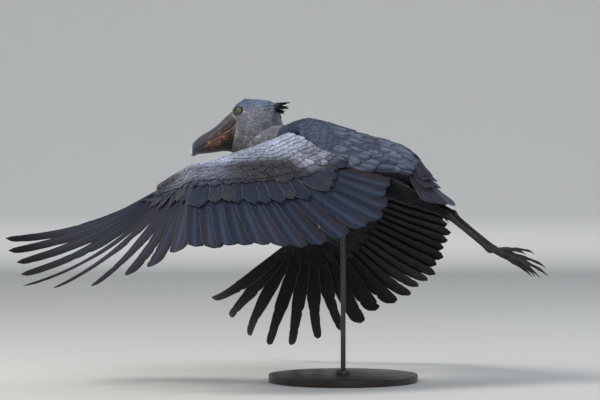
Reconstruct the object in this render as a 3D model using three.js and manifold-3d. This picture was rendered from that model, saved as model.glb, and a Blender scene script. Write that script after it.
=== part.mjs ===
// A shoebill in slow flight, life size, held over a flat base by one rod as a museum would hold it.
// Millimetres, +Z up. The bird faces -X, its left side is towards -Y and its back is up.
// The origin is the middle of the base's underside.
import * as THREE from "three";
import { mergeVertices } from "three/addons/utils/BufferGeometryUtils.js";
import Module from "manifold-3d";

const wasm = await Module();
wasm.setup();

const LEFT = -1;
const RIGHT = 1;
const GAP = 0.35; // between two pieces that meet face to face
const WELD = 1e-3; // vertices nearer than this are one
const SLIVER = 0.05; // detail smaller than this is cleaned away after a union

// The point midway between the shoulder joints.
const SHOULDER = { x: -135, z: 775 };

const COLOURS = {
  plumage: { color: 0x5a616c, roughness: 0.8, metalness: 0 },
  head: { color: 0x6d6e74, roughness: 0.85, metalness: 0 },
  flight: { color: 0x3c4351, roughness: 0.7, metalness: 0 },
  bill: { color: 0x66504f, roughness: 0.5, metalness: 0 },
  eye: { color: 0xa8a878, roughness: 0.1, metalness: 0 },
  leg: { color: 0x2e2d31, roughness: 0.6, metalness: 0 },
  stand: { color: 0x26272a, roughness: 0.4, metalness: 0.6 },
};

const STAND = { baseRadius: 240, baseThick: 24, bevel: 3, rodRadius: 8, collarRadius: 24, collarHigh: 12 };

// Trunk and neck in one run from throat to rump. Each station: how far behind the shoulders,
// the top and the bottom against the shoulder's height, and half the width.
const TRUNK = [
  { back: -252, top: -37, bottom: -56, half: 9 },
  { back: -235, top: -8, bottom: -78, half: 30 },
  { back: -200, top: 24, bottom: -102, half: 46 },
  { back: -160, top: 45, bottom: -125, half: 56 },
  { back: -120, top: 52, bottom: -141, half: 64 },
  { back: -78, top: 50, bottom: -151, half: 71 },
  { back: -40, top: 60, bottom: -153, half: 80 },
  { back: 0, top: 69, bottom: -158, half: 91 },
  { back: 60, top: 61, bottom: -170, half: 96 },
  { back: 113, top: 46, bottom: -175, half: 97 },
  { back: 164, top: 30, bottom: -176, half: 94 },
  { back: 230, top: 13, bottom: -167, half: 85 },
  { back: 292, top: -2, bottom: -153, half: 72 },
  { back: 350, top: -24, bottom: -140, half: 55 },
  { back: 398, top: -60, bottom: -130, half: 34 },
  { back: 424, top: -92, bottom: -112, half: 12 },
];
const TRUNK_SIDES = 20;
const NECK_FRONT_OF = -70; // the neck's hind face is this far behind the shoulders
const NAPE = { back: -78, up: 50 };
const THROAT = { back: -285, up: -39 };

// The head has its own axes: forward along the bill and up, from the middle of the skull.
const HEAD = { back: -182, up: 58, yaw: 13 };
const SKULL = [
  { forward: -93, top: 17, bottom: -12, half: 16 },
  { forward: -86, top: 45, bottom: -40, half: 32 },
  { forward: -70, top: 60, bottom: -75, half: 41 },
  { forward: -47, top: 66, bottom: -92, half: 46 },
  { forward: -15, top: 71, bottom: -103, half: 49 },
  { forward: 18, top: 73, bottom: -107, half: 50 },
  { forward: 50, top: 69, bottom: -108, half: 49 },
  { forward: 66, top: 58, bottom: -106, half: 47 },
  { forward: 80, top: 40, bottom: -103, half: 45 },
  { forward: 96, top: 22, bottom: -99, half: 42 },
];
const BILL = [
  { forward: 40, top: 48, mouth: 7, bottom: -98, half: 42 },
  { forward: 60, top: 47, mouth: -7, bottom: -99, half: 45 },
  { forward: 77, top: 41, mouth: -21, bottom: -99, half: 46 },
  { forward: 90, top: 29, mouth: -31, bottom: -96, half: 47 },
  { forward: 111, top: 10, mouth: -45, bottom: -95, half: 50 },
  { forward: 136, top: -13, mouth: -61, bottom: -98, half: 51 },
  { forward: 163, top: -31, mouth: -74, bottom: -102, half: 48 },
  { forward: 188, top: -45, mouth: -86, bottom: -104, half: 41 },
  { forward: 205, top: -58, mouth: -93, bottom: -107, half: 31 },
  { forward: 216, top: -69, mouth: -96, bottom: -113, half: 20 },
  { forward: 224, top: -82, mouth: -97, bottom: -110, half: 7 },
];
const BILL_SIDES = 18;
const GAPE = { forward: 48, up: 4.5 };
const CULMEN_EDGE = { forward: 77.5, up: 41.6 };
const CHIN_EDGE = { forward: 84, up: -102 };
const MOUTH_LINE = [
  { forward: 76, up: -20 },
  { forward: 104, up: -41.5 },
  { forward: 129, up: -58 },
  { forward: 160, up: -73 },
  { forward: 192, up: -88.5 },
  { forward: 199, up: -98 },
];
const NOSTRIL = { forward: 96, up: 11, side: 24, long: 13, high: 2.2, turn: -38 };
const EYE = { forward: 47, up: 38, side: 37.5, radius: 9.5, lidRadius: 10.6, lidThick: 2.3, lidSide: 42.6 };
const CREST = { count: 7, forward: -70, up: 46, longest: 62, shortest: 36, width: 9, spread: 15 };

// The wings in mid downstroke. Angles in degrees: a sweep is turned forward from straight out,
// a droop is below the level. The runs of eight go from the innermost tertial to the outermost primary.
const WING = {
  arm: 405,
  hand: 140,
  elbowAt: 0.36,
  innermostAt: 0.1,
  secondaries: 14,
  primaries: 10,
  lengths: [290, 358, 377, 382, 386, 450, 584, 560],
  widths: [58, 62, 62, 62, 61, 56, 50, 44],
  bends: [10, 12, 13, 14, 16, 27, 44, 60],
  steps: [2.4, 2.4, 2.4, 2.5, 3, 3.4, 3.4, 3], // how far each lies above the next one out
  overlaps: [0.97, 0.97, 0.97, 0.97, 0.97, 1.2, 1.9, 1.9], // how many neighbours' shafts its edge reaches
  quill: 7, // the least room for one quill
  handCurve: 36, // the outermost quill is this far ahead of the innermost across the hand
};
const POSES = {
  [LEFT]: {
    joint: { side: 105, up: 6 },
    arm: { sweep: 22.2, droop: 14.5 },
    hand: { sweep: 80.0, droop: 33.9 },
    elbow: { back: 108.4, down: 52.9 },
    sweeps: [-99, -92, -62.9, -40.6, -27.3, 11.2, 73, 79],
    droops: [16.8, 27.8, 39.9, 37.1, 36.8, 43.8, 31.3, 16.5],
  },
  [RIGHT]: {
    joint: { side: 105, up: -8 },
    arm: { sweep: 22.9, droop: 46.6 },
    hand: { sweep: 79.1, droop: 24.9 },
    elbow: { back: 101.6, down: 51.0 },
    sweeps: [-98, -91.3, -76, -60.5, -31, 4.2, 42.9, 61.9],
    droops: [12.1, 14.5, 21.4, 30.1, 37.3, 47.2, 43.7, 22.9],
  },
};
const WING_FACE = 100; // the wing meets its boss on the trunk this far from the middle plane

// The outline of the arm's section: how far from the leading edge, and how high in thicknesses.
const ARM_SECTION = [
  [0, 0],
  [0.1, 0.75],
  [0.3, 1],
  [0.55, 0.95],
  [0.8, 0.7],
  [1, 0.36],
  [1, -0.28],
  [0.75, -0.42],
  [0.4, -0.48],
  [0.12, -0.42],
];

// Half widths of a feather along its length, in shares of its full width.
const BROAD = [
  [0, 0.08],
  [0.2, 0.38],
  [0.62, 0.5],
  [0.92, 0.41],
  [1, 0.13],
];
const FINGERED = [
  [0, 0.1],
  [0.2, 0.44],
  [0.44, 0.48],
  [0.6, 0.33],
  [0.88, 0.28],
  [1, 0.06],
];
const SHORT = [
  [0, 0.2],
  [0.78, 0.5],
  [1, 0.16],
];

const TAIL = { back: 396, up: -97, down: 42, face: { back: 386, up: -90, down: 14 }, yaw: 5, count: 12, splay: 31, long: 166, width: 40, roots: 17 };
const LEG = {
  hip: { back: 318, up: -146, side: 45 },
  cut: 0.44,
  ankle: { back: 514, up: -234, side: 24 },
  foot: { back: 658, up: -339, side: 22 },
  sides: 12,
};
const TOES = [
  { turn: 4, drop: 27, long: 172, radius: 6.6 },
  { turn: -6, drop: 22, long: 208, radius: 7 },
  { turn: -17, drop: 15, long: 186, radius: 6.6 },
  { turn: -7, drop: -2, long: 138, radius: 6.2 },
];

const radians = THREE.MathUtils.degToRad;
const mix = THREE.MathUtils.lerp;
const vec = (x, y, z) => new THREE.Vector3(x, y, z);
const between = (a, b, t) => a.clone().lerp(b, t);
const moved = (p, direction, distance) => p.clone().addScaledVector(direction, distance);

// A small repeatable source of variety.
let seed = 20260;
function vary(low, high) {
  seed = (seed * 1103515245 + 12345) % 2147483648;
  return mix(low, high, seed / 2147483648);
}

// A point given by how far it is behind, beside and above the middle of the shoulders.
const body = (back, side, up) => vec(SHOULDER.x + back, side, SHOULDER.z + up);

// A smooth run through evenly spaced values that never overshoots them, read at a share of its length.
function run(values, share) {
  const last = values.length - 1;
  const x = Math.min(Math.max(share, 0), 1) * last;
  const i = Math.min(Math.floor(x), last - 1);
  const u = x - i;
  const rise = (k) => values[k + 1] - values[k];
  const slope = (k) => {
    if (k === 0) return rise(0);
    if (k === last) return rise(last - 1);
    const before = rise(k - 1);
    const after = rise(k);
    return before * after > 0 ? (2 * before * after) / (before + after) : 0;
  };
  const v = 1 - u;
  return values[i] * (1 + 2 * u) * v * v + slope(i) * u * v * v + values[i + 1] * u * u * (3 - 2 * u) - slope(i + 1) * u * u * v;
}

// The way a wing part points, from its sweep and droop.
function pointing(side, sweep, droop) {
  const level = Math.cos(radians(droop));
  return vec(-Math.sin(radians(sweep)) * level, side * Math.cos(radians(sweep)) * level, -Math.sin(radians(droop)));
}

// A closed skin over a row of rings of points, flat at both ends. From one side of the ring on,
// its quads are split the other way, so that the two faces of a thin blade are split alike.
function loft(rings, turnFrom = Infinity) {
  const sides = rings[0].length;
  const points = rings.flat();
  const faces = [];
  for (let r = 0; r + 1 < rings.length; r++) {
    for (let k = 0; k < sides; k++) {
      const next = (k + 1) % sides;
      const a = r * sides + k;
      const b = r * sides + next;
      const c = (r + 1) * sides + next;
      const d = (r + 1) * sides + k;
      if (k < turnFrom) faces.push([a, b, c], [a, c, d]);
      else faces.push([a, b, d], [b, c, d]);
    }
  }
  const last = (rings.length - 1) * sides;
  for (let k = 1; k + 1 < sides; k++) {
    faces.push([0, k + 1, k], [last, last + k, last + k + 1]);
  }
  return solid(points, faces);
}

// A solid from points and faces, turned so that it faces outward.
function solid(points, faces) {
  let volume = 0;
  for (const [a, b, c] of faces) {
    volume += points[a].dot(points[b].clone().cross(points[c]));
  }
  const order = volume < 0 ? [0, 2, 1] : [0, 1, 2];
  const triVerts = new Uint32Array(faces.flatMap((face) => order.map((n) => face[n])));
  const vertProperties = new Float32Array(points.flatMap((p) => [p.x, p.y, p.z]));
  return new wasm.Manifold(new wasm.Mesh({ numProp: 3, vertProperties, triVerts }));
}

// A three.js geometry as a solid.
function solidOf(geometry) {
  const bare = geometry.clone();
  bare.deleteAttribute("normal");
  bare.deleteAttribute("uv");
  const merged = mergeVertices(bare, WELD);
  return new wasm.Manifold(
    new wasm.Mesh({
      numProp: 3,
      vertProperties: new Float32Array(merged.attributes.position.array),
      triVerts: new Uint32Array(merged.index.array),
    }),
  );
}

const unite = (pieces) => pieces.reduce((whole, piece) => whole.add(piece));

// The largest closed body of a solid, cleaned of slivers.
function whole(made) {
  const bodies = made.asOriginal().simplify(SLIVER).decompose();
  return bodies.reduce((best, b) => (b.volume() > best.volume() ? b : best));
}

// The part of a solid in front of a plane: on the side its normal points to, a distance beyond it.
function keep(made, point, normal, beyond = 0) {
  const n = normal.clone().normalize();
  return made.trimByPlane([n.x, n.y, n.z], n.dot(point) + beyond);
}

// A rounded section: half the width, above and below its middle. The power squares its shoulders.
function oval(sides, half, above, below, power = 1) {
  const points = [];
  for (let k = 0; k < sides; k++) {
    const angle = (2 * Math.PI * (k + 0.5)) / sides;
    const across = Math.sign(Math.cos(angle)) * Math.abs(Math.cos(angle)) ** power;
    const high = Math.sign(Math.sin(angle)) * Math.abs(Math.sin(angle)) ** power;
    points.push([half * across, high * (high > 0 ? above : below)]);
  }
  return points;
}

// A tube through points, each with its own radius.
function tube(points, radii, sides = 8) {
  const rings = points.map((p, i) => {
    const before = points[Math.max(i - 1, 0)];
    const after = points[Math.min(i + 1, points.length - 1)];
    const along = after.clone().sub(before).normalize();
    const across = along.clone().cross(vec(0, 0, 1)).normalize();
    const up = across.clone().cross(along);
    const ring = [];
    for (let k = 0; k < sides; k++) {
      const angle = (2 * Math.PI * k) / sides;
      ring.push(moved(moved(p, across, Math.cos(angle) * radii[i]), up, Math.sin(angle) * radii[i]));
    }
    return ring;
  });
  return loft(rings);
}

// A point of a gentle arc that leaves its root and rises towards its tip, a distance along it.
function arc(line, distance) {
  const radius = line.chord / (2 * Math.sin(line.bend / 2));
  const turn = line.bend * (distance / line.chord - 0.5);
  const forward = radius * (Math.sin(turn) + Math.sin(line.bend / 2));
  const lift = radius * (Math.cos(line.bend / 2) - Math.cos(turn));
  return moved(moved(line.root, line.along, forward), line.up, lift);
}

// One feather as a thin blade with a raised shaft. Its bed tells where a point lies,
// a distance out from the root and so far across, and which way is up there.
function blade(bed, form, { from = 0, to, width, outerShare = 0.5, raised = 0, scale = 1 }) {
  const rings = form.map(([share, half]) => {
    const distance = mix(from, to, share);
    const edge = mix(0.36, 0.28, share) * scale;
    const crest = mix(1.3, 0.5, share) * scale;
    const outer = bed(distance, 2 * half * width * outerShare);
    const middle = bed(distance, 0);
    const inner = bed(distance, -2 * half * width * (1 - outerShare));
    const at = (place, high) => moved(place.point, place.up, raised + high);
    return [at(outer, -edge), at(outer, edge), at(middle, crest), at(inner, edge), at(inner, -edge), at(middle, -edge)];
  });
  return loft(rings, 4);
}

// The bed of a feather that lies by itself: flat across, bent along.
function singleBed(line) {
  return (distance, across) => ({ point: moved(arc(line, distance), line.out, across), up: line.up });
}

// Where one wing's joints are, and the smooth sheet its feathers lie in. A place in the sheet
// is counted in feathers from the innermost, so whole numbers are shafts.
function layWing(side) {
  const pose = POSES[side];
  const last = WING.secondaries + WING.primaries - 1;
  const joint = body(0, side * pose.joint.side, pose.joint.up);
  const armWay = pointing(side, pose.arm.sweep, pose.arm.droop);
  const handWay = pointing(side, pose.hand.sweep, pose.hand.droop);
  const wrist = moved(joint, armWay, WING.arm);
  const tip = moved(wrist, handWay, WING.hand);
  const elbow = moved(joint, armWay, WING.arm * WING.elbowAt).add(vec(pose.elbow.back, 0, -pose.elbow.down));
  const inmost = moved(joint, armWay, WING.arm * WING.innermostAt);
  inmost.add(vec(pose.elbow.back * 0.9, 0, -pose.elbow.down * 0.9));
  const forearmShare = 2 * WING.elbowAt;

  const handFront = handWay.clone().cross(vec(-Math.sin(0.2), 0.6 * side, 0.8)).normalize();
  if (handFront.x > 0) handFront.negate();
  const rootAt = (place) => {
    const inward = (WING.secondaries - 0.5 - place) / WING.secondaries;
    const outward = (-inward * WING.secondaries) / WING.primaries;
    if (inward < 0) return moved(between(wrist, tip, outward), handFront, outward * WING.handCurve);
    if (inward < forearmShare) return between(wrist, elbow, inward / forearmShare);
    return between(elbow, inmost, (inward - forearmShare) / (1 - forearmShare));
  };
  const alongAt = (place) => pointing(side, run(pose.sweeps, place / last), run(pose.droops, place / last));
  const chordAt = (place) => run(WING.lengths, place / last);
  const middleAt = (place) => moved(rootAt(place), alongAt(place), chordAt(place) * 0.5);
  const lineAt = (place) => {
    const along = alongAt(place);
    const out = middleAt(Math.min(place + 0.6, last)).sub(middleAt(Math.max(place - 0.6, 0)));
    out.addScaledVector(along, -out.dot(along)).normalize();
    const up = out.clone().cross(along);
    if (up.z < 0) up.negate();
    return { root: rootAt(place), along, out, up, chord: chordAt(place), bend: radians(run(WING.bends, place / last)) };
  };
  const sheet = (place, distance) => {
    const inside = Math.min(Math.max(place, 0), last);
    const point = arc(lineAt(inside), distance);
    if (inside === place) return point;
    const inner = arc(lineAt(inside === 0 ? 0.5 : last - 0.5), distance);
    return point.clone().lerp(inner, -2 * Math.abs(place - inside));
  };
  const upAt = (place, distance) => {
    const line = lineAt(Math.min(Math.max(place, 0), last));
    const turn = line.bend * (distance / line.chord - 0.5);
    return line.up.multiplyScalar(Math.cos(turn)).addScaledVector(line.along, -Math.sin(turn));
  };
  const bedOf = (place) => (distance, across) => {
    const line = lineAt(place);
    const middle = arc(line, distance);
    const up = upAt(place, distance);
    const over = sheet(place + 0.5, distance).sub(sheet(place - 0.5, distance));
    const spacing = Math.max(over.dot(line.out), WING.quill);
    const most = run(WING.overlaps, place / last);
    const steps = Math.max(-most, Math.min(most, across / spacing));
    const rise = sheet(place + steps, distance).sub(middle).dot(up) + steps * run(WING.steps, place / last);
    return { point: moved(moved(middle, line.out, steps * spacing), up, rise), up };
  };
  return { side, joint, armWay, handWay, handFront, wrist, tip, elbow, last, rootAt, chordAt, upAt, bedOf };
}

// The fleshy arm, from inside the trunk to the hand's tip.
function armOf(lay) {
  const { side, joint, armWay, handWay, handFront, wrist, tip, elbow } = lay;
  const ahead = (share, x, z) => moved(joint, armWay, WING.arm * share).add(vec(x, 0, z));
  const onHand = (share, distance) => moved(between(wrist, tip, share), handFront, distance);
  const inmost = lay.rootAt(0);
  const stations = [
    [body(-34, side * 52, 4), body(112, side * 52, -40), 22],
    [body(-36, side * 100, 2), body(108, side * 100, -46), 20],
    [ahead(0.12, -34, 4), inmost.clone().add(vec(17, 0, -8)), 18],
    [ahead(0.36, -26, 5), elbow.clone().add(vec(16, 0, -8)), 17],
    [ahead(0.66, -21, 4), between(elbow, wrist, 0.48).add(vec(15, 0, -7)), 15.5],
    [ahead(0.9, -19, 5), between(elbow, wrist, 0.86).add(vec(14, 0, -6)), 14],
    [onHand(0.06, 20), onHand(0.06, -16), 13.5],
    [onHand(0.5, 33), onHand(0.5, -4), 13],
    [onHand(1, 48), onHand(1, 19), 11.5],
    [onHand(1.22, 50), onHand(1.22, 30), 9],
  ];
  const rings = stations.map(([lead, trail, thick], i) => {
    const chord = trail.clone().sub(lead);
    const span = i < 6 ? armWay : handWay;
    const up = chord.clone().cross(span).normalize();
    if (up.z < 0) up.negate();
    return ARM_SECTION.map(([share, high]) => moved(moved(lead, chord, share), up, high * thick));
  });
  return loft(rings);
}

// All the blades of one wing: the flight feathers, two tiers of coverts above them and one below.
function wingBlades(lay) {
  const blades = [];
  for (let i = 0; i <= lay.last; i++) {
    const primary = i - WING.secondaries;
    const hand = primary >= 0;
    const bed = lay.bedOf(i);
    const width = run(WING.widths, i / lay.last);
    const outerShare = mix(0.48, 0.36, Math.max(0, primary) / 9);
    const long = lay.chordAt(i) * vary(0.985, 1.015);
    const from = hand ? -3 : -13;
    blades.push(blade(bed, primary >= 3 ? FINGERED : BROAD, { from, to: long, width, outerShare }));
    if (i === lay.last || (hand && i % 2 === 0)) continue;
    const reach = hand ? 132 : lay.chordAt(i) * 0.4;
    const sunk = hand ? -3 : -22;
    const high = hand ? mix(6.5, 10, primary / 9) : mix(5.2, 6.5, i / 13);
    const wide = hand ? width * 1.3 : width * 0.92;
    blades.push(blade(bed, SHORT, { from: sunk, to: reach * vary(0.96, 1.04), width: wide, raised: high, scale: 0.85 }));
    if (i % 2 === 0) continue;
    const under = { from: sunk, to: reach * vary(0.7, 0.8), width: width * 1.2, raised: -high, scale: 0.85 };
    blades.push(blade(bed, SHORT, under));
    if (hand) continue;
    const median = { from: sunk - 5, to: reach * vary(0.52, 0.6), width: width * 1.3, raised: high + 4.9, scale: 0.85 };
    blades.push(blade(bed, SHORT, median));
  }
  return blades;
}

// The trunk's section at a station, as points of a ring.
function trunkRing(station) {
  const middle = (station.top + station.bottom) / 2;
  const high = (station.top - station.bottom) / 2;
  return oval(TRUNK_SIDES, station.half, high, high, 0.92).map(([y, z]) => body(station.back, y, middle + z));
}

// A point of the head, from its own axes.
const headFrame = new THREE.Matrix4()
  .makeTranslation(body(HEAD.back, 0, HEAD.up))
  .multiply(new THREE.Matrix4().makeRotationZ(radians(HEAD.yaw)));
const ofHead = (forward, side, up) => vec(-forward, side, up).applyMatrix4(headFrame);

// A prism right through the head, from its outline seen from the side.
function sidePrism(outline, shiftForward = 0, shiftUp = 0) {
  const shape = new THREE.Shape(outline.map((p) => new THREE.Vector2(p.forward + shiftForward, p.up + shiftUp)));
  const geometry = new THREE.ExtrudeGeometry(shape, { depth: 300, bevelEnabled: false });
  geometry.translate(0, 0, -150);
  geometry.applyMatrix4(new THREE.Matrix4().makeBasis(vec(-1, 0, 0), vec(0, 0, 1), vec(0, 1, 0)));
  geometry.applyMatrix4(headFrame);
  return solidOf(geometry);
}

const meshes = new THREE.Group();
meshes.name = "shoebill";

// Adds one named piece to the bird.
function add(name, made, look) {
  const mesh = made.getMesh();
  const geometry = new THREE.BufferGeometry();
  geometry.setAttribute("position", new THREE.BufferAttribute(new Float32Array(mesh.vertProperties), 3));
  geometry.setIndex(new THREE.BufferAttribute(new Uint32Array(mesh.triVerts), 1));
  const flat = geometry.toNonIndexed();
  flat.computeVertexNormals();
  const object = new THREE.Mesh(flat, new THREE.MeshStandardMaterial({ ...COLOURS[look], flatShading: true }));
  object.name = name;
  meshes.add(object);
}

const X = vec(1, 0, 0);

// Trunk and neck.
const trunkAndNeck = loft(TRUNK.map(trunkRing));
const nape = body(NAPE.back, 0, NAPE.up);
const throat = body(THROAT.back, 0, THROAT.up);
const headUp = nape.clone().sub(throat).cross(vec(0, 1, 0)).normalize();
if (headUp.z < 0) headUp.negate();
const neckFace = body(NECK_FRONT_OF, 0, 0);
const neckWhole = keep(keep(trunkAndNeck, neckFace, X.clone().negate(), GAP / 2), nape, headUp.clone().negate(), GAP / 2);
add("neck", whole(neckWhole), "plumage");

// The tail's own axes: away from the rump, out to the bird's right, and up off its upper face.
const tailWay = vec(Math.cos(radians(TAIL.down)), 0, -Math.sin(radians(TAIL.down)));
const tailAcross = vec(0, 1, 0);
const tailUp = vec(Math.sin(radians(TAIL.down)), 0, Math.cos(radians(TAIL.down)));
const tailRoot = body(TAIL.back, 0, TAIL.up);
const tailFace = body(TAIL.face.back, 0, TAIL.face.up);
const tailFaceWay = vec(Math.cos(radians(TAIL.face.down)), 0, -Math.sin(radians(TAIL.face.down)));

// Wings: the boss on the trunk and the wing are one arm, parted at the wing's face.
const lays = { [LEFT]: layWing(LEFT), [RIGHT]: layWing(RIGHT) };
const arms = { [LEFT]: armOf(lays[LEFT]), [RIGHT]: armOf(lays[RIGHT]) };
const bosses = [];
for (const side of [LEFT, RIGHT]) {
  const out = vec(0, side, 0);
  const face = body(0, side * WING_FACE, 0);
  bosses.push(keep(arms[side], face, out.clone().negate(), GAP / 2));
  const wing = unite([arms[side], ...wingBlades(lays[side])]);
  add(side === LEFT ? "wing_left" : "wing_right", whole(keep(wing, face, out, GAP / 2)), "flight");
}

// The legs' lines, from the hip to the ankle and on to the foot.
const thighs = {};
const shins = {};
for (const side of [LEFT, RIGHT]) {
  const hip = body(LEG.hip.back, side * LEG.hip.side, LEG.hip.up);
  const ankle = body(LEG.ankle.back, side * LEG.ankle.side, LEG.ankle.up);
  const foot = body(LEG.foot.back, side * LEG.foot.side, LEG.foot.up);
  const name = side === LEFT ? "left" : "right";
  const down = ankle.clone().sub(hip).normalize();
  const on = foot.clone().sub(ankle).normalize();
  const bend = down.clone().add(on).normalize();
  const upper = tube(
    [moved(hip, down, -40), hip, between(hip, ankle, 0.3), between(hip, ankle, 0.6), between(hip, ankle, 0.86), ankle, moved(ankle, on, 30)],
    [26, 36, 31, 21, 13, 12, 9],
    LEG.sides,
  );
  const lower = tube(
    [moved(ankle, down, -30), ankle, between(ankle, foot, 0.14), between(ankle, foot, 0.5), between(ankle, foot, 0.86), foot],
    [12, 12, 8.4, 7.2, 7.8, 9.5],
    LEG.sides,
  );
  const split = between(hip, ankle, LEG.cut);
  thighs[side] = keep(upper, split, down.clone().negate(), GAP / 2);
  const shin = keep(keep(upper, split, down, GAP / 2), ankle, bend.clone().negate(), GAP / 2);
  shins[side] = whole(shin);
  add("leg_" + name, shins[side], "plumage");
  const footFace = moved(foot, on, -12);
  const tarsus = keep(keep(lower, ankle, bend, GAP / 2), footFace, on.clone().negate(), GAP / 2);
  add("tarsus_" + name, whole(tarsus), "leg");

  const level = vec(on.x, on.y, 0).normalize();
  const pieces = [keep(tube([moved(foot, on, -30), moved(foot, on, -8), moved(foot, on, 6), moved(foot, on, 20)], [8, 10, 11.5, 8], 10), footFace, on, GAP / 2)];
  TOES.forEach((toe) => {
    const way = level.clone().applyAxisAngle(vec(0, 0, 1), radians(-side * toe.turn));
    const aim = way.clone().multiplyScalar(Math.cos(radians(toe.drop))).add(vec(0, 0, -Math.sin(radians(toe.drop))));
    const start = moved(moved(foot, on, 2), level.clone().cross(vec(0, 0, 1)), -side * toe.turn * 0.35);
    const at = (share, lift) => moved(start, aim, toe.long * share).add(vec(0, 0, lift));
    const r = toe.radius;
    pieces.push(
      tube(
        [at(0, 0), at(0.24, 3), at(0.34, 3.5), at(0.56, 2.6), at(0.64, 2), at(0.81, 0), at(0.91, -4), at(1, -11)],
        [r, r * 0.8, r * 1.02, r * 0.72, r * 0.92, r * 0.62, r * 0.42, 0.6],
        6,
      ),
    );
  });
  add("foot_" + name, whole(unite(pieces)), "leg");
}

// Scapulars: broad blades that lie back from the shoulders over the roots of the wings.
function scapulars(side) {
  const blades = [];
  const rows = [
    { back: 62, side: 34, up: 50, long: 128, turn: 2, dip: 16 },
    { back: 66, side: 58, up: 38, long: 136, turn: 4, dip: 19 },
    { back: 70, side: 77, up: 22, long: 128, turn: 6, dip: 22 },
    { back: 128, side: 26, up: 38, long: 132, turn: 2, dip: 17 },
    { back: 132, side: 52, up: 28, long: 140, turn: 3, dip: 20 },
    { back: 134, side: 74, up: 8, long: 126, turn: 4, dip: 23 },
    { back: 200, side: 20, up: 18, long: 128, turn: 1, dip: 19 },
    { back: 204, side: 46, up: 8, long: 130, turn: 2, dip: 22 },
  ];
  for (const row of rows) {
    const turn = radians(row.turn);
    const dip = radians(row.dip - 5);
    const along = vec(Math.cos(turn) * Math.cos(dip), side * Math.sin(turn) * Math.cos(dip), -Math.sin(dip));
    const lean = radians(row.side * 0.45);
    const across = vec(0, side * Math.cos(lean), -Math.sin(lean));
    across.addScaledVector(along, -across.dot(along)).normalize();
    const up = across.clone().cross(along).normalize();
    if (up.z < 0) up.negate();
    const line = { root: body(row.back, side * row.side, row.up), along, up, out: across, chord: row.long, bend: 0.02 };
    blades.push(blade(singleBed(line), SHORT, { to: row.long, width: 46, scale: 1.2 }));
  }
  return blades;
}

const trunkBack = keep(keep(trunkAndNeck, neckFace, X, GAP / 2), tailFace, tailFaceWay.clone().negate(), GAP / 2);
const scapularBlades = [...scapulars(LEFT), ...scapulars(RIGHT)];
const trunk = unite([trunkBack, ...bosses, thighs[LEFT], thighs[RIGHT], ...scapularBlades]);
const torso = whole(trunk);
add("torso", torso, "plumage");

// Tail: a short stub that carries twelve broad feathers, the middle pair uppermost.
const tailPieces = [keep(trunkAndNeck, tailFace, tailFaceWay, GAP / 2)];
function tailBlade(form, turn, side, long, width, raise, sunk) {
  const angle = radians(turn);
  const yaw = radians(-TAIL.yaw);
  const way = tailWay.clone().multiplyScalar(Math.cos(angle + yaw)).addScaledVector(tailAcross, Math.sin(angle + yaw));
  const across = tailAcross.clone().multiplyScalar(Math.cos(angle + yaw)).addScaledVector(tailWay, -Math.sin(angle + yaw));
  const root = moved(moved(moved(tailRoot, tailAcross, side), way, -sunk), tailUp, raise);
  const line = { root, along: way, up: tailUp, out: across, chord: long + sunk, bend: radians(5) };
  return blade(singleBed(line), form, { to: long + sunk, width });
}
for (let k = 0; k < TAIL.count; k++) {
  const place01 = (2 * k) / (TAIL.count - 1) - 1;
  const rank = Math.floor(Math.abs(k - (TAIL.count - 1) / 2));
  const order = rank * 2 + (k < TAIL.count / 2 ? 0 : 1);
  const long = TAIL.long * (1 - 0.06 * rank / 5) * vary(0.98, 1.02);
  tailPieces.push(tailBlade(BROAD, place01 * TAIL.splay, place01 * TAIL.roots, long, TAIL.width, 9 - order * 2.1, 8));
}
for (let k = 0; k < 7; k++) {
  const share = k / 3 - 1;
  const order = Math.abs(k - 3) * 2 + (k > 3 ? 1 : 0);
  tailPieces.push(tailBlade(SHORT, share * 27, share * 14, 84 * vary(0.95, 1.05), 36, 27 - order * 2.1, 6));
}
for (let k = 0; k < 5; k++) {
  const share = k / 2 - 1;
  const order = Math.abs(k - 2) * 2 + (k > 2 ? 1 : 0);
  tailPieces.push(tailBlade(SHORT, share * 20, share * 10, 78, 34, -17 - order * 1.9, 4));
}
add("tail", whole(keep(unite(tailPieces), tailFace, tailFaceWay, GAP / 2)), "flight");

// Head: skull, lids and crest. The bill's own region is cut out of it.
const skull = loft(
  SKULL.map((s) => {
    const middle = (s.top + s.bottom) / 2 + 12;
    return oval(TRUNK_SIDES, s.half, s.top - middle, middle - s.bottom, 0.88).map(([y, z]) => ofHead(s.forward, y, middle + z));
  }),
);
const above = { forward: CULMEN_EDGE.forward + 60, up: CULMEN_EDGE.up + 60 * ((CULMEN_EDGE.up - GAPE.up) / (CULMEN_EDGE.forward - GAPE.forward)) };
const upperOutline = [GAPE, ...MOUTH_LINE, { forward: 197, up: -150 }, { forward: 270, up: -150 }, { forward: 270, up: above.up }, above];
const lowerOutline = [GAPE, ...MOUTH_LINE, { forward: 197, up: -150 }, { forward: 97, up: -150 }, CHIN_EDGE];
const billOutline = [GAPE, CHIN_EDGE, { forward: 97, up: -150 }, { forward: 270, up: -150 }, { forward: 270, up: above.up }, above];

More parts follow.
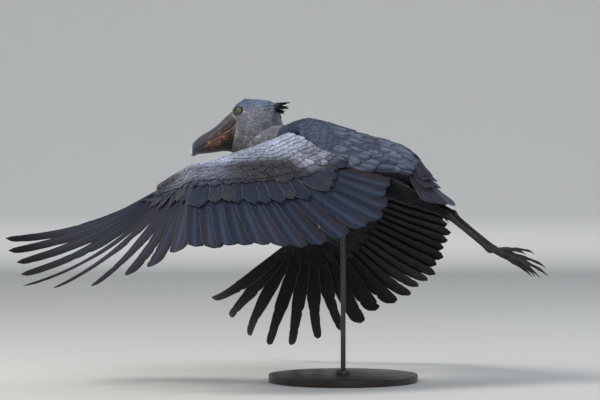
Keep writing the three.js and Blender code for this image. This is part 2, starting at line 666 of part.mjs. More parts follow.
const headPieces = [skull];
const eyes = {};
const sockets = [];
for (const side of [LEFT, RIGHT]) {
  const lid = new THREE.TorusGeometry(EYE.lidRadius, EYE.lidThick, 6, 14);
  lid.applyMatrix4(new THREE.Matrix4().makeRotationX(Math.PI / 2));
  lid.applyMatrix4(new THREE.Matrix4().makeScale(1.08, 1, 0.92));
  lid.applyMatrix4(new THREE.Matrix4().makeRotationZ(radians(side * 6)));
  lid.applyMatrix4(new THREE.Matrix4().makeTranslation(-EYE.forward, side * EYE.lidSide, EYE.up));
  lid.applyMatrix4(headFrame);
  headPieces.push(solidOf(lid));
  const centre = ofHead(EYE.forward, side * EYE.side, EYE.up);
  const ball = new THREE.SphereGeometry(EYE.radius, 12, 8).translate(centre.x, centre.y, centre.z);
  const socket = new THREE.SphereGeometry(EYE.radius + GAP, 12, 8).translate(centre.x, centre.y, centre.z);
  eyes[side] = solidOf(ball);
  sockets.push(solidOf(socket));
}
for (let k = 0; k < CREST.count; k++) {
  const across = k - (CREST.count - 1) / 2;
  const rise = radians(4 + 7 * ((k * 3) % CREST.count) / CREST.count);
  const turn = radians(across * 4);
  const long = mix(CREST.longest, CREST.shortest, Math.abs(across) / 3);
  const along = ofHead(-Math.cos(rise) * Math.cos(turn), Math.sin(turn), Math.sin(rise)).sub(ofHead(0, 0, 0)).normalize();
  const out = ofHead(0, 1, 0).sub(ofHead(0, 0, 0)).normalize();
  out.addScaledVector(along, -out.dot(along)).normalize();
  const up = out.clone().cross(along).normalize();
  if (up.z < 0) up.negate();
  const root = ofHead(CREST.forward + Math.abs(across) * 2, across * 4.6, CREST.up - Math.abs(across) * 3.2 + (k % 2) * 4);
  const line = { root, along, up, out, chord: long, bend: radians(24) };
  headPieces.push(blade(singleBed(line), SHORT, { to: long, width: CREST.width, scale: 1.1 }));
}
let head = keep(unite(headPieces), nape, headUp, GAP / 2);
head = head.subtract(sidePrism(billOutline, -0.5, 0));
head = unite([head]).subtract(unite(sockets));
add("head", whole(head), "head");
add("eye_left", eyes[LEFT], "eye");
add("eye_right", eyes[RIGHT], "eye");

// Bill: the upper half with its ridge and hooked nail, and the lower half that fits inside the hook.
const billWhole = loft(
  BILL.map((s) =>
    oval(BILL_SIDES, s.half, s.top - s.mouth, s.mouth - s.bottom, 0.8).map(([y, z]) => {
      const ridge = z > 0 ? 1 - 0.1 * Math.min(1, Math.abs(y) / (s.half * 0.35)) : 1;
      return ofHead(s.forward, y, s.mouth + z * ridge);
    }),
  ),
);
const nostrils = [LEFT, RIGHT].map((side) => {
  const hole = new THREE.SphereGeometry(1, 10, 6);
  hole.applyMatrix4(new THREE.Matrix4().makeScale(NOSTRIL.long, 6, NOSTRIL.high));
  hole.applyMatrix4(new THREE.Matrix4().makeRotationY(radians(NOSTRIL.turn)));
  hole.applyMatrix4(new THREE.Matrix4().makeTranslation(-NOSTRIL.forward, side * NOSTRIL.side, NOSTRIL.up));
  hole.applyMatrix4(headFrame);
  return solidOf(hole);
});
add("bill_upper", whole(billWhole.intersect(sidePrism(upperOutline)).subtract(unite(nostrils))), "bill");
add("bill_lower", whole(billWhole.intersect(sidePrism(lowerOutline, -0.35, -0.42)).intersect(sidePrism(lowerOutline, 0, -0.42))), "bill");

// Stand: a round base, a collar and one rod up into the belly.
const rim = STAND.baseRadius;
const profile = [
  new THREE.Vector2(0, 0),
  new THREE.Vector2(rim, 0),
  new THREE.Vector2(rim, STAND.baseThick - STAND.bevel),
  new THREE.Vector2(rim - STAND.bevel, STAND.baseThick),
  new THREE.Vector2(0, STAND.baseThick),
];
const base = new THREE.LatheGeometry(profile, 48).applyMatrix4(new THREE.Matrix4().makeRotationX(Math.PI / 2));
add("stand_base", solidOf(base), "stand");
const rodTop = SHOULDER.z - 100;
const upright = (radius, low, high, sides) =>
  solidOf(new THREE.CylinderGeometry(radius, radius, high - low, sides).rotateX(Math.PI / 2).translate(0, 0, (low + high) / 2));
const collarLow = STAND.baseThick + GAP;
const rod = unite([upright(STAND.collarRadius, collarLow, collarLow + STAND.collarHigh, 32), upright(STAND.rodRadius, collarLow, rodTop, 20)]);
add("stand_rod", whole(rod.subtract(torso.translate([0, 0, -GAP]))), "stand");

export default meshes;
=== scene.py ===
"""A shoebill in slow flight on a plain display stand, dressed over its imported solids.

Sizes are in millimetres, as in the part's source, and become metres where a mesh is made. The bird
faces -X, its left side is towards -Y and its back is up. A place on a wing is counted in flight
feathers from the innermost, so whole numbers are shafts.
"""

from __future__ import annotations

import logging
import math
from dataclasses import dataclass, field
from enum import Enum

import bpy
import numpy as np
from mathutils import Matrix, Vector


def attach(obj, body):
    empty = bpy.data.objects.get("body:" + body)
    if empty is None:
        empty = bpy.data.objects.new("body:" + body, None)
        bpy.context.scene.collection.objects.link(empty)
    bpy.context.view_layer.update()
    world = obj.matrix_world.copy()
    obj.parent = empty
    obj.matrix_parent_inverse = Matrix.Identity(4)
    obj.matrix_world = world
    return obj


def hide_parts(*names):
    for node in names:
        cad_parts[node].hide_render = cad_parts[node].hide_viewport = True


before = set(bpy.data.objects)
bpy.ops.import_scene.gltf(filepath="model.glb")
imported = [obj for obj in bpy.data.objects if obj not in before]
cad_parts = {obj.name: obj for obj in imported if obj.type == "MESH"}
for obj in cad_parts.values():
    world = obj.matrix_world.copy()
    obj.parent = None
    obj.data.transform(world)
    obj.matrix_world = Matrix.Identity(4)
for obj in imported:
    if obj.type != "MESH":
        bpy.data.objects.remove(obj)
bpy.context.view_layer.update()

log = logging.getLogger("shoebill")
MM = 0.001
SHOULDER = np.array([-135.0, 0.0, 775.0])
BAKE_PATCH = 0.003
Array = np.ndarray


class Side(Enum):
    """Which side of the bird, as the sign of Y."""

    LEFT = -1
    RIGHT = 1


class Face(Enum):
    """Which face of a wing."""

    UPPER = 1
    UNDER = -1


def linear(colour: str) -> Array:
    """A screen colour such as 5a616c as linear light."""
    values = np.array([int(colour[i : i + 2], 16) / 255 for i in (0, 2, 4)])
    return np.where(values <= 0.04045, values / 12.92, ((values + 0.055) / 1.055) ** 2.4)


def body(back: float, side: float, up: float) -> Array:
    """A point given by how far it is behind, beside and above the middle of the shoulders."""
    return SHOULDER + np.array([back, side, up])


def unit(v: Array) -> Array:
    """Vectors scaled to length one."""
    return v / np.maximum(np.linalg.norm(v, axis=-1, keepdims=True), 1e-9)


def dot(a: Array, b: Array) -> Array:
    """Row by row dot products."""
    return (a * b).sum(-1)


def smooth(low: float, high: float, x: Array) -> Array:
    """A soft step from 0 at low to 1 at high."""
    t = np.clip((np.asarray(x, float) - low) / (high - low), 0, 1)
    return t * t * (3 - 2 * t)


def column(x: Array) -> Array:
    """A row of numbers as a column, to multiply vectors by."""
    return np.asarray(x, float)[..., None]


def run(values: tuple[float, ...], share: Array) -> Array:
    """A smooth run through evenly spaced values that never overshoots them.

    Args:
        values: The values it passes through.
        share: Where to read it, from 0 to 1.

    Returns:
        The values read.
    """
    v = np.asarray(values, float)
    last = len(v) - 1
    x = np.clip(share, 0, 1) * last
    i = np.minimum(np.floor(x).astype(int), last - 1)
    u = x - i
    rise = np.diff(v)
    both = rise[:-1] * rise[1:]
    inside = np.where(both > 0, 2 * both / np.where(both > 0, rise[:-1] + rise[1:], 1), 0)
    slope = np.concatenate([rise[:1], inside, rise[-1:]])
    w = 1 - u
    ends = v[i] * (1 + 2 * u) * w * w + v[i + 1] * u * u * (3 - 2 * u)
    return ends + slope[i] * u * w * w - slope[i + 1] * u * u * w


def pointing(side: Side, sweep: Array, droop: Array) -> Array:
    """The way a wing part points, from its sweep and droop in degrees."""
    s, d = np.radians(sweep), np.radians(droop)
    level = np.cos(d)
    return np.stack([-np.sin(s) * level, side.value * np.cos(s) * level, -np.sin(d)], -1)


def ripple(points: Array, size: float, phase: float = 0.0) -> Array:
    """A gentle unevenness from -1 to 1, the same at the same point, with patches of about that size."""
    q = points / size
    a = np.sin(2.1 * q[..., 0] + 1.3 * q[..., 1] + phase)
    b = np.sin(1.7 * q[..., 1] - 2.3 * q[..., 2] + 1.7 * phase + 1)
    c = np.sin(2.9 * q[..., 2] + 1.1 * q[..., 0] - 0.7 * phase + 2)
    return (a * b + b * c + c * a) / 1.6


@dataclass
class Sculpture:
    """Points and faces gathered for one piece, with what its materials read."""

    points: list[Array] = field(default_factory=list)
    faces: list[Array] = field(default_factory=list)
    coats: list[Array] = field(default_factory=list)
    vanes: list[Array] = field(default_factory=list)
    spans: list[Array] = field(default_factory=list)
    bakes: list[Array] = field(default_factory=list)
    count: int = 0

    def add(self, points: Array, faces: Array, coat: Array, vane: Array, span: Array, bake: Array) -> None:
        """Adds one closed form.

        Args:
            points: Its corners in millimetres.
            faces: Its four-sided faces, by corner.
            coat: Linear colours, one a corner.
            vane: Where each corner lies across and along, 0 to 1.
            span: Width, length and the strength of the pale rim, one row for all.
            bake: The place of its root on the unwrap, 0 to 1.
        """
        self.points.append(points)
        self.faces.append(faces + self.count)
        self.coats.append(coat)
        self.vanes.append(vane)
        self.spans.append(np.broadcast_to(span, (len(points), 3)))
        self.bakes.append(np.clip(bake, 0.01, 0.99) + (vane - 0.5) * BAKE_PATCH)
        self.count += len(points)

    def piece(self, name: str, material: bpy.types.Material) -> bpy.types.Object:
        """The gathered forms as one object, with its colours, vane map and bake map."""
        made = mesh_object(name, np.concatenate(self.points) * MM, np.concatenate(self.faces))
        paint(made, np.concatenate(self.coats))
        mesh = made.data
        loops = loop_corners(mesh)
        for layer, values in (("OFBake", self.bakes), ("Vane", self.vanes)):
            uv = mesh.uv_layers.new(name=layer)
            uv.uv.foreach_set("vector", np.concatenate(values)[loops].astype(np.float32).ravel())
        span = mesh.attributes.new("Span", "FLOAT_VECTOR", "POINT")
        span.data.foreach_set("vector", np.concatenate(self.spans).astype(np.float32).ravel())
        made.data.materials.append(material)
        return made


def loop_corners(mesh: bpy.types.Mesh) -> Array:
    """The vertex of each face corner of a mesh."""
    loops = np.empty(len(mesh.loops), dtype=np.int32)
    mesh.loops.foreach_get("vertex_index", loops)
    return loops


def mesh_object(name: str, points: Array, faces: Array) -> bpy.types.Object:
    """A smooth-shaded object from points in metres and faces of equal size."""
    mesh = bpy.data.meshes.new(name)
    sides = faces.shape[1]
    mesh.vertices.add(len(points))
    mesh.vertices.foreach_set("co", np.asarray(points, np.float32).ravel())
    mesh.loops.add(faces.size)
    mesh.loops.foreach_set("vertex_index", faces.astype(np.int32).ravel())
    mesh.polygons.add(len(faces))
    mesh.polygons.foreach_set("loop_start", np.arange(0, faces.size, sides, dtype=np.int32))
    mesh.polygons.foreach_set("use_smooth", np.ones(len(faces), dtype=bool))
    mesh.update(calc_edges=True)
    mesh.validate()
    made = bpy.data.objects.new(name, mesh)
    bpy.context.scene.collection.objects.link(made)
    return made


def paint(made: bpy.types.Object, colours: Array) -> None:
    """Stores linear colours on the corners of an object as its coat."""
    layer = made.data.color_attributes.new("Coat", "FLOAT_COLOR", "POINT")
    full = np.concatenate([colours, np.ones((len(colours), 1))], 1)
    layer.data.foreach_set("color", np.clip(full, 0, 1).astype(np.float32).ravel())


def corners(made: bpy.types.Object) -> Array:
    """The corners of an object in millimetres."""
    flat = np.empty(len(made.data.vertices) * 3, dtype=np.float32)
    made.data.vertices.foreach_get("co", flat)
    return flat.reshape(-1, 3).astype(float) / MM


def loft(rings: Array, closed_ends: bool = True) -> tuple[Array, Array]:
    """A skin over rows of rings of points.

    Args:
        rings: Rings by points by three.
        closed_ends: Whether each end is drawn together in a fan to its middle.

    Returns:
        The points, and four-sided faces turned outward.
    """
    count, sides = rings.shape[:2]
    points = rings.reshape(-1, 3)
    r, k = np.meshgrid(np.arange(count - 1), np.arange(sides), indexing="ij")
    n = (k + 1) % sides
    faces = np.stack(
        [r * sides + k, r * sides + n, (r + 1) * sides + n, (r + 1) * sides + k], -1
    ).reshape(-1, 4)
    if closed_ends:
        half = sides // 2
        spot = np.arange(half - 1)
        first = np.stack([spot, (sides - 1 - spot), (sides - 2 - spot), spot + 1], -1)
        last = (count - 1) * sides + first[:, ::-1]
        faces = np.concatenate([faces, first, last])
    inward = volume(points, faces) < 0
    return points, faces[:, ::-1] if inward else faces


def volume(points: Array, faces: Array) -> float:
    """Six times the volume inside four-sided faces, negative when they face inward."""
    a, b, c, d = (points[faces[:, i]] for i in range(4))
    return float(dot(a, np.cross(b, c)).sum() + dot(a, np.cross(c, d)).sum())


def tube(points: Array, radii: Array, sides: int = 16, up: tuple[float, float, float] = (0, 0, 1)) -> Array:
    """Rings of a tube through points, each with its own radius."""
    along = unit(np.gradient(points, axis=0))
    across = unit(np.cross(along, np.array(up, float)))
    over = np.cross(across, along)
    angle = np.arange(sides) * 2 * np.pi / sides
    spin = across[:, None] * np.cos(angle)[None, :, None] + over[:, None] * np.sin(angle)[None, :, None]
    return points[:, None] + spin * np.asarray(radii)[:, None, None]


def through(points: list[Array], steps: int) -> Array:
    """A smooth line through a few points, in that many steps."""
    share = np.linspace(0, 1, steps)
    stack = np.array(points, float)
    return np.stack([run(tuple(stack[:, i]), share) for i in range(3)], -1)


def wire(
    tree: bpy.types.NodeTree, kind: str, inputs: dict | None = None, **settings: object
) -> bpy.types.Node:
    """Adds a node, sets it and joins its inputs.

    Args:
        tree: The node tree.
        kind: The node's type.
        inputs: For each input, by name or number, a value or a socket to join it to.
        **settings: The node's own settings.

    Returns:
        The node.
    """
    node = tree.nodes.new(kind)
    for name, value in settings.items():
        setattr(node, name, value)
    for key, value in (inputs or {}).items():
        socket = node.inputs[key]
        if isinstance(value, bpy.types.NodeSocket):
            tree.links.new(value, socket)
        else:
            socket.default_value = value
    return node


class Sum:
    """Arithmetic on sockets, so that a finish reads as its formula."""

    def __init__(self, tree: bpy.types.NodeTree) -> None:
        """Keeps the tree that its nodes go in."""
        self.tree = tree

    def do(self, operation: str, *terms: object, clamp: bool = False) -> bpy.types.NodeSocket:
        """One arithmetic step on numbers or sockets."""
        joined = dict(enumerate(terms))
        return wire(self.tree, "ShaderNodeMath", joined, operation=operation, use_clamp=clamp).outputs[0]

    def step(
        self, value: bpy.types.NodeSocket, low: float, high: float, start: float = 0, end: float = 1
    ) -> bpy.types.NodeSocket:
        """A soft step of a value from start at low to end at high."""
        terms = {0: value, 1: low, 2: high, 3: start, 4: end}
        return wire(self.tree, "ShaderNodeMapRange", terms, interpolation_type="SMOOTHSTEP").outputs[0]

    def blend(self, share: object, a: object, b: object, kind: str = "MIX") -> bpy.types.NodeSocket:
        """Two colours mixed by a share."""
        terms = {0: share, 6: a, 7: b}
        return wire(self.tree, "ShaderNodeMix", terms, data_type="RGBA", blend_type=kind).outputs[2]


def full(colour: str) -> tuple[float, float, float, float]:
    """A screen colour as linear light with its alpha."""
    return (*linear(colour), 1.0)


def fresh(name: str) -> tuple[bpy.types.Material, bpy.types.NodeTree, bpy.types.Node]:
    """A new material with its tree and its shader."""
    material = bpy.data.materials.new(name)
    material.use_nodes = True
    tree = material.node_tree
    return material, tree, tree.nodes["Principled BSDF"]


@dataclass(frozen=True)
class FeatherFinish:
    """Feather: barbs leave the shaft towards the tip, hooked into a web that parts in places."""

    name: str
    rim: str = "8d8b93"
    shaft: str = "1a1b20"
    warm: str = "4a413f"
    warmth: float = 0.35
    roughness: float = 0.62
    barbs: float = 0.3
    sheen: float = 0.04

    def build(self) -> bpy.types.Material:
        """Makes the material. It reads the coat's colour and each vane's own map, in real millimetres."""
        material, tree, shader = fresh(self.name)
        sum_ = Sum(tree)
        coat = wire(tree, "ShaderNodeAttribute", attribute_name="Coat").outputs["Color"]
        vane = wire(
            tree, "ShaderNodeSeparateXYZ", {0: wire(tree, "ShaderNodeUVMap", uv_map="Vane").outputs[0]}
        )
        span = wire(tree, "ShaderNodeAttribute", attribute_name="Span").outputs["Vector"]
        size = wire(tree, "ShaderNodeSeparateXYZ", {0: span})
        aside = sum_.do("ABSOLUTE", sum_.do("SUBTRACT", vane.outputs[0], 0.5))
        across = sum_.do("MULTIPLY", aside, size.outputs[0])
        along = sum_.do("MULTIPLY", vane.outputs[1], size.outputs[1])
        barb = sum_.do("SUBTRACT", along, sum_.do("MULTIPLY", across, 1.15))
        side = sum_.do("MULTIPLY", sum_.do("SUBTRACT", vane.outputs[0], 0.5), size.outputs[0])
        spot = wire(tree, "ShaderNodeTexCoord").outputs["Object"]
        coarse_at = wire(
            tree, "ShaderNodeCombineXYZ",
            {0: sum_.do("MULTIPLY", barb, 0.22), 1: sum_.do("MULTIPLY", side, 0.02)}
        )
        odd = wire(
            tree, "ShaderNodeVectorMath",
            {
                0: coarse_at.outputs[0],
                1: wire(
                    tree, "ShaderNodeVectorMath", {0: spot, 1: (9, 9, 9)}, operation="MULTIPLY"
                ).outputs[0]
            },
            operation="ADD"
        )
        coarse = wire(
            tree, "ShaderNodeTexNoise", {"Vector": odd.outputs[0], "Scale": 1.0, "Detail": 3.0}
        ).outputs[0]
        fine_at = wire(
            tree, "ShaderNodeCombineXYZ",
            {0: sum_.do("MULTIPLY", barb, 1.1), 1: sum_.do("MULTIPLY", side, 0.05)}
        )
        fine = wire(
            tree, "ShaderNodeTexNoise", {"Vector": fine_at.outputs[0], "Scale": 1.0, "Detail": 1.0}
        ).outputs[0]
        web = sum_.do(
            "ADD", sum_.step(coarse, 0.35, 0.68, 0.78, 1.2), sum_.step(fine, 0.3, 0.7, -0.07, 0.07)
        )
        shade = wire(tree, "ShaderNodeCombineColor", {0: web, 1: web, 2: web}).outputs[0]
        toned = sum_.blend(1.0, coat, shade, "MULTIPLY")
        trailing = sum_.step(vane.outputs[0], 0.3, 0.02, 0.0, self.warmth)
        warm = sum_.blend(1.0, coat, full(self.warm), "SOFT_LIGHT")
        worn = sum_.blend(trailing, toned, warm)
        edge = sum_.do(
            "MINIMUM", sum_.do("MULTIPLY", sum_.do("SUBTRACT", 0.5, aside), size.outputs[0]),
            sum_.do("MULTIPLY", sum_.do("SUBTRACT", 1.0, vane.outputs[1]), size.outputs[1])
        )
        ragged = sum_.do("ADD", edge, sum_.step(coarse, 0.2, 0.8, -1.0, 1.0))
        rim = sum_.do("MULTIPLY", sum_.step(ragged, 2.6, 0.5), size.outputs[2])
        edged = sum_.blend(rim, worn, full(self.rim))
        quill = sum_.do(
            "MULTIPLY", sum_.step(across, 1.1, 0.35), sum_.step(vane.outputs[1], 0.97, 0.6, 0.0, 0.7)
        )
        shafted = sum_.blend(quill, edged, full(self.shaft))
        tree.links.new(shafted, shader.inputs["Base Color"])
        tree.links.new(
            sum_.step(coarse, 0.3, 0.7, self.roughness - 0.08, self.roughness + 0.1),
            shader.inputs["Roughness"]
        )
        shader.inputs["Specular IOR Level"].default_value = 0.15
        shader.inputs["Sheen Weight"].default_value = self.sheen
        shader.inputs["Sheen Roughness"].default_value = 0.4
        height = sum_.do("ADD", fine, sum_.step(across, 1.4, 0.2, 0.0, 1.5))
        bump = wire(tree, "ShaderNodeBump", {"Height": height, "Strength": self.barbs, "Distance": 0.0006})
        tree.links.new(bump.outputs[0], shader.inputs["Normal"])
        return material


@dataclass(frozen=True)
class SkinFinish:
    """Skin: dark under the feathers, and small horny scales on the bare shanks and toes, with painted shade
    in the grooves between them.
    """

    name: str

    def build(self) -> bpy.types.Material:
        """Makes the material. Scales show where the skin is bare, by the mask kept on it."""
        material, tree, shader = fresh(self.name)
        sum_ = Sum(tree)
        coat = wire(tree, "ShaderNodeAttribute", attribute_name="Coat").outputs["Color"]
        bare = wire(tree, "ShaderNodeAttribute", attribute_name="Bare").outputs["Fac"]
        spot = wire(tree, "ShaderNodeTexCoord").outputs["Object"]
        scales = wire(
            tree, "ShaderNodeTexVoronoi", {"Vector": spot, "Scale": 260.0}, feature="DISTANCE_TO_EDGE"
        ).outputs["Distance"]
        tone = wire(tree, "ShaderNodeTexVoronoi", {"Vector": spot, "Scale": 260.0}).outputs["Color"]
        grain = wire(tree, "ShaderNodeTexNoise", {"Vector": spot, "Scale": 90.0, "Detail": 5.0}).outputs[0]
        # Painted shade in the grooves between the scales.
        groove = sum_.do("MULTIPLY", sum_.step(scales, 0.12, 0.01), bare)
        dusty = sum_.blend(sum_.do("MULTIPLY", sum_.step(grain, 0.45, 0.75), 0.12), coat, full("6b665f"))
        varied = sum_.blend(sum_.do("MULTIPLY", bare, 0.25), dusty, tone, "SOFT_LIGHT")
        grooved = sum_.blend(sum_.do("MULTIPLY", groove, 0.6), varied, full("0b0b0c"))
        tree.links.new(grooved, shader.inputs["Base Color"])
        tree.links.new(sum_.step(grain, 0.3, 0.7, 0.5, 0.68), shader.inputs["Roughness"])
        height = sum_.do(
            "ADD", sum_.do("MULTIPLY", sum_.step(scales, 0.0, 0.16), bare), sum_.do("MULTIPLY", grain, 0.3)
        )
        bump = wire(tree, "ShaderNodeBump", {"Height": height, "Strength": 0.6, "Distance": 0.0009})
        tree.links.new(bump.outputs[0], shader.inputs["Normal"])
        return material


@dataclass(frozen=True)
class HornFinish:
    """Horn: the bill's worn plates, streaked along their growth, with a dry, waxy gloss."""

    name: str
    streak: str = "cc8f6e"
    streaks: float = 0.5
    roughness: float = 0.42

    def build(self) -> bpy.types.Material:
        """Makes the material from the coat's colour and streaks along the bill."""
        material, tree, shader = fresh(self.name)
        sum_ = Sum(tree)
        coat = wire(tree, "ShaderNodeAttribute", attribute_name="Coat").outputs["Color"]
        blotch = wire(tree, "ShaderNodeAttribute", attribute_name="Blotch").outputs["Fac"]
        grown = wire(tree, "ShaderNodeUVMap", uv_map="Vane").outputs[0]
        lines = wire(
            tree, "ShaderNodeMapping", {"Vector": grown, "Scale": (9.0, 42.0, 1.0)}, vector_type="POINT"
        ).outputs[0]
        streak = wire(
            tree, "ShaderNodeTexNoise", {"Vector": lines, "Scale": 1.0, "Detail": 4.0, "Distortion": 0.6}
        ).outputs[0]
        spot = wire(tree, "ShaderNodeTexCoord").outputs["Object"]
        patch = wire(
            tree, "ShaderNodeTexNoise", {"Vector": spot, "Scale": 95.0, "Detail": 5.0, "Distortion": 0.2}
        ).outputs[0]
        pink = sum_.do("MULTIPLY", sum_.step(streak, 0.44, 0.6), blotch)
        warm = sum_.blend(sum_.step(patch, 0.4, 0.6), full("b4544f"), full(self.streak))
        stained = sum_.blend(sum_.do("MULTIPLY", pink, self.streaks), coat, warm)
        yellow = sum_.do("MULTIPLY", sum_.step(patch, 0.6, 0.68), blotch)
        flecked = sum_.blend(sum_.do("MULTIPLY", yellow, 0.55), stained, full("cdb98a"))
        dark = sum_.do("MULTIPLY", sum_.step(streak, 0.46, 0.3), 0.75)
        lined = sum_.blend(dark, flecked, full("17161a"))
        tree.links.new(lined, shader.inputs["Base Color"])
        tree.links.new(
            sum_.step(patch, 0.3, 0.7, self.roughness - 0.1, self.roughness + 0.14),
            shader.inputs["Roughness"]
        )
        shader.inputs["Specular IOR Level"].default_value = 0.36
        shader.inputs["Coat Weight"].default_value = 0.05
        shader.inputs["Coat Roughness"].default_value = 0.3
        height = sum_.do("ADD", streak, sum_.do("MULTIPLY", patch, 0.6))
        bump = wire(tree, "ShaderNodeBump", {"Height": height, "Strength": 0.35, "Distance": 0.0008})
        tree.links.new(bump.outputs[0], shader.inputs["Normal"])
        return material


@dataclass(frozen=True)
class EyeFinish:
    """Eye: a pale yellow-green iris round a black pupil, under a clear wet cornea."""

    name: str

    def build(self) -> bpy.types.Material:
        """Makes the material from rings about the eye's own axis, kept as its vane map."""
        material, tree, shader = fresh(self.name)
        sum_ = Sum(tree)
        rings = wire(
            tree, "ShaderNodeSeparateXYZ", {0: wire(tree, "ShaderNodeUVMap", uv_map="Vane").outputs[0]}
        )
        spokes = wire(
            tree, "ShaderNodeCombineXYZ",
            {0: sum_.do("MULTIPLY", rings.outputs[0], 60.0), 1: sum_.do("MULTIPLY", rings.outputs[1], 4.0)}
        )
        fibre = wire(
            tree, "ShaderNodeTexNoise", {"Vector": spokes.outputs[0], "Scale": 1.0, "Detail": 2.0}
        ).outputs[0]
        iris = sum_.blend(fibre, full("6f713f"), full("a9ad72"))
        inner = sum_.blend(sum_.step(rings.outputs[1], 0.38, 0.33), iris, full("020202"))
        outer = sum_.blend(sum_.step(rings.outputs[1], 0.56, 0.66), inner, full("14130f"))
        tree.links.new(outer, shader.inputs["Base Color"])
        shader.inputs["Roughness"].default_value = 0.08
        shader.inputs["Coat Weight"].default_value = 1.0
        shader.inputs["Coat Roughness"].default_value = 0.02
        return material


@dataclass(frozen=True)
class WoodFinish:
    """Hardwood, stained almost black and rubbed to a satin."""

    name: str

    def build(self) -> bpy.types.Material:
        """Makes the material: long grain along X with small pores."""
        material, tree, shader = fresh(self.name)
        sum_ = Sum(tree)
        spot = wire(tree, "ShaderNodeTexCoord").outputs["Object"]
        drawn = wire(tree, "ShaderNodeMapping", {"Vector": spot, "Scale": (3.0, 45.0, 45.0)}).outputs[0]
        grain = wire(
            tree, "ShaderNodeTexNoise", {"Vector": drawn, "Scale": 1.0, "Detail": 6.0, "Distortion": 1.2}
        ).outputs[0]
        pores_at = wire(
            tree, "ShaderNodeMapping", {"Vector": spot, "Scale": (60.0, 900.0, 900.0)}
        ).outputs[0]
        pores = wire(
            tree, "ShaderNodeTexNoise", {"Vector": pores_at, "Scale": 1.0, "Detail": 2.0}
        ).outputs[0]
        stained = sum_.blend(sum_.step(grain, 0.35, 0.65), full("191513"), full("33291f"))
        pored = sum_.blend(sum_.do("MULTIPLY", sum_.step(pores, 0.6, 0.7), 0.6), stained, full("0c0a09"))
        tree.links.new(pored, shader.inputs["Base Color"])
        tree.links.new(sum_.step(grain, 0.3, 0.7, 0.32, 0.42), shader.inputs["Roughness"])
        bump = wire(tree, "ShaderNodeBump", {"Height": pores, "Strength": 0.25, "Distance": 0.0004})
        tree.links.new(bump.outputs[0], shader.inputs["Normal"])
        return material


@dataclass(frozen=True)
class SteelFinish:
    """Steel, brushed along the rod and darkened."""

    name: str

    def build(self) -> bpy.types.Material:
        """Makes the material: fine lines along the rod in roughness and bump."""
        material, tree, shader = fresh(self.name)
        sum_ = Sum(tree)
        spot = wire(tree, "ShaderNodeTexCoord").outputs["Object"]
        drawn = wire(
            tree, "ShaderNodeMapping", {"Vector": spot, "Scale": (1500.0, 1500.0, 12.0)}
        ).outputs[0]
        brushed = wire(
            tree, "ShaderNodeTexNoise", {"Vector": drawn, "Scale": 1.0, "Detail": 2.0}
        ).outputs[0]
        tree.links.new(sum_.blend(brushed, full("3d3e41"), full("55565a")), shader.inputs["Base Color"])
        tree.links.new(sum_.step(brushed, 0.3, 0.7, 0.26, 0.4), shader.inputs["Roughness"])
        shader.inputs["Metallic"].default_value = 1.0
        bump = wire(tree, "ShaderNodeBump", {"Height": brushed, "Strength": 0.15, "Distance": 0.0002})
        tree.links.new(bump.outputs[0], shader.inputs["Normal"])
        return material


@dataclass(frozen=True)
class StudioFinish:
    """Matt studio paper."""

    name: str
    colour: str

    def build(self) -> bpy.types.Material:
        """Makes the material: one pale tone with the paper's faint tooth."""
        material, tree, shader = fresh(self.name)
        spot = wire(tree, "ShaderNodeTexCoord").outputs["Object"]
        tooth = wire(tree, "ShaderNodeTexNoise", {"Vector": spot, "Scale": 400.0}).outputs[0]
        shader.inputs["Base Color"].default_value = full(self.colour)
        shader.inputs["Roughness"].default_value = 0.9
        bump = wire(tree, "ShaderNodeBump", {"Height": tooth, "Strength": 0.05, "Distance": 0.0002})
        tree.links.new(bump.outputs[0], shader.inputs["Normal"])
        return material


class Form(Enum):
    """The outline of a vane: half widths along it in shares of its width, and where its tip rounds."""

    BROAD = ((0.06, 0.26, 0.4, 0.47, 0.5, 0.5, 0.5, 0.49, 0.47), 0.9)
    FINGERED = ((0.07, 0.3, 0.42, 0.47, 0.46, 0.36, 0.31, 0.28, 0.2), 0.94)
    SHORT = ((0.12, 0.34, 0.46, 0.5, 0.5, 0.49), 0.62)
    LONG = ((0.12, 0.34, 0.46, 0.5, 0.5, 0.46, 0.4), 0.8)
    SOFT = ((0.2, 0.42, 0.5, 0.46, 0.36, 0.24), 0.88)
    LANCE = ((0.15, 0.4, 0.5, 0.42, 0.28, 0.12), 0.97)

    def half(self, share: Array) -> Array:
        """Half width at a share of the length."""
        values, rounds = self.value
        tip = np.clip((share - rounds) / (1 - rounds), 0, 1)
        return run(values, share) * np.sqrt(np.maximum(1 - tip**2, 0.003))


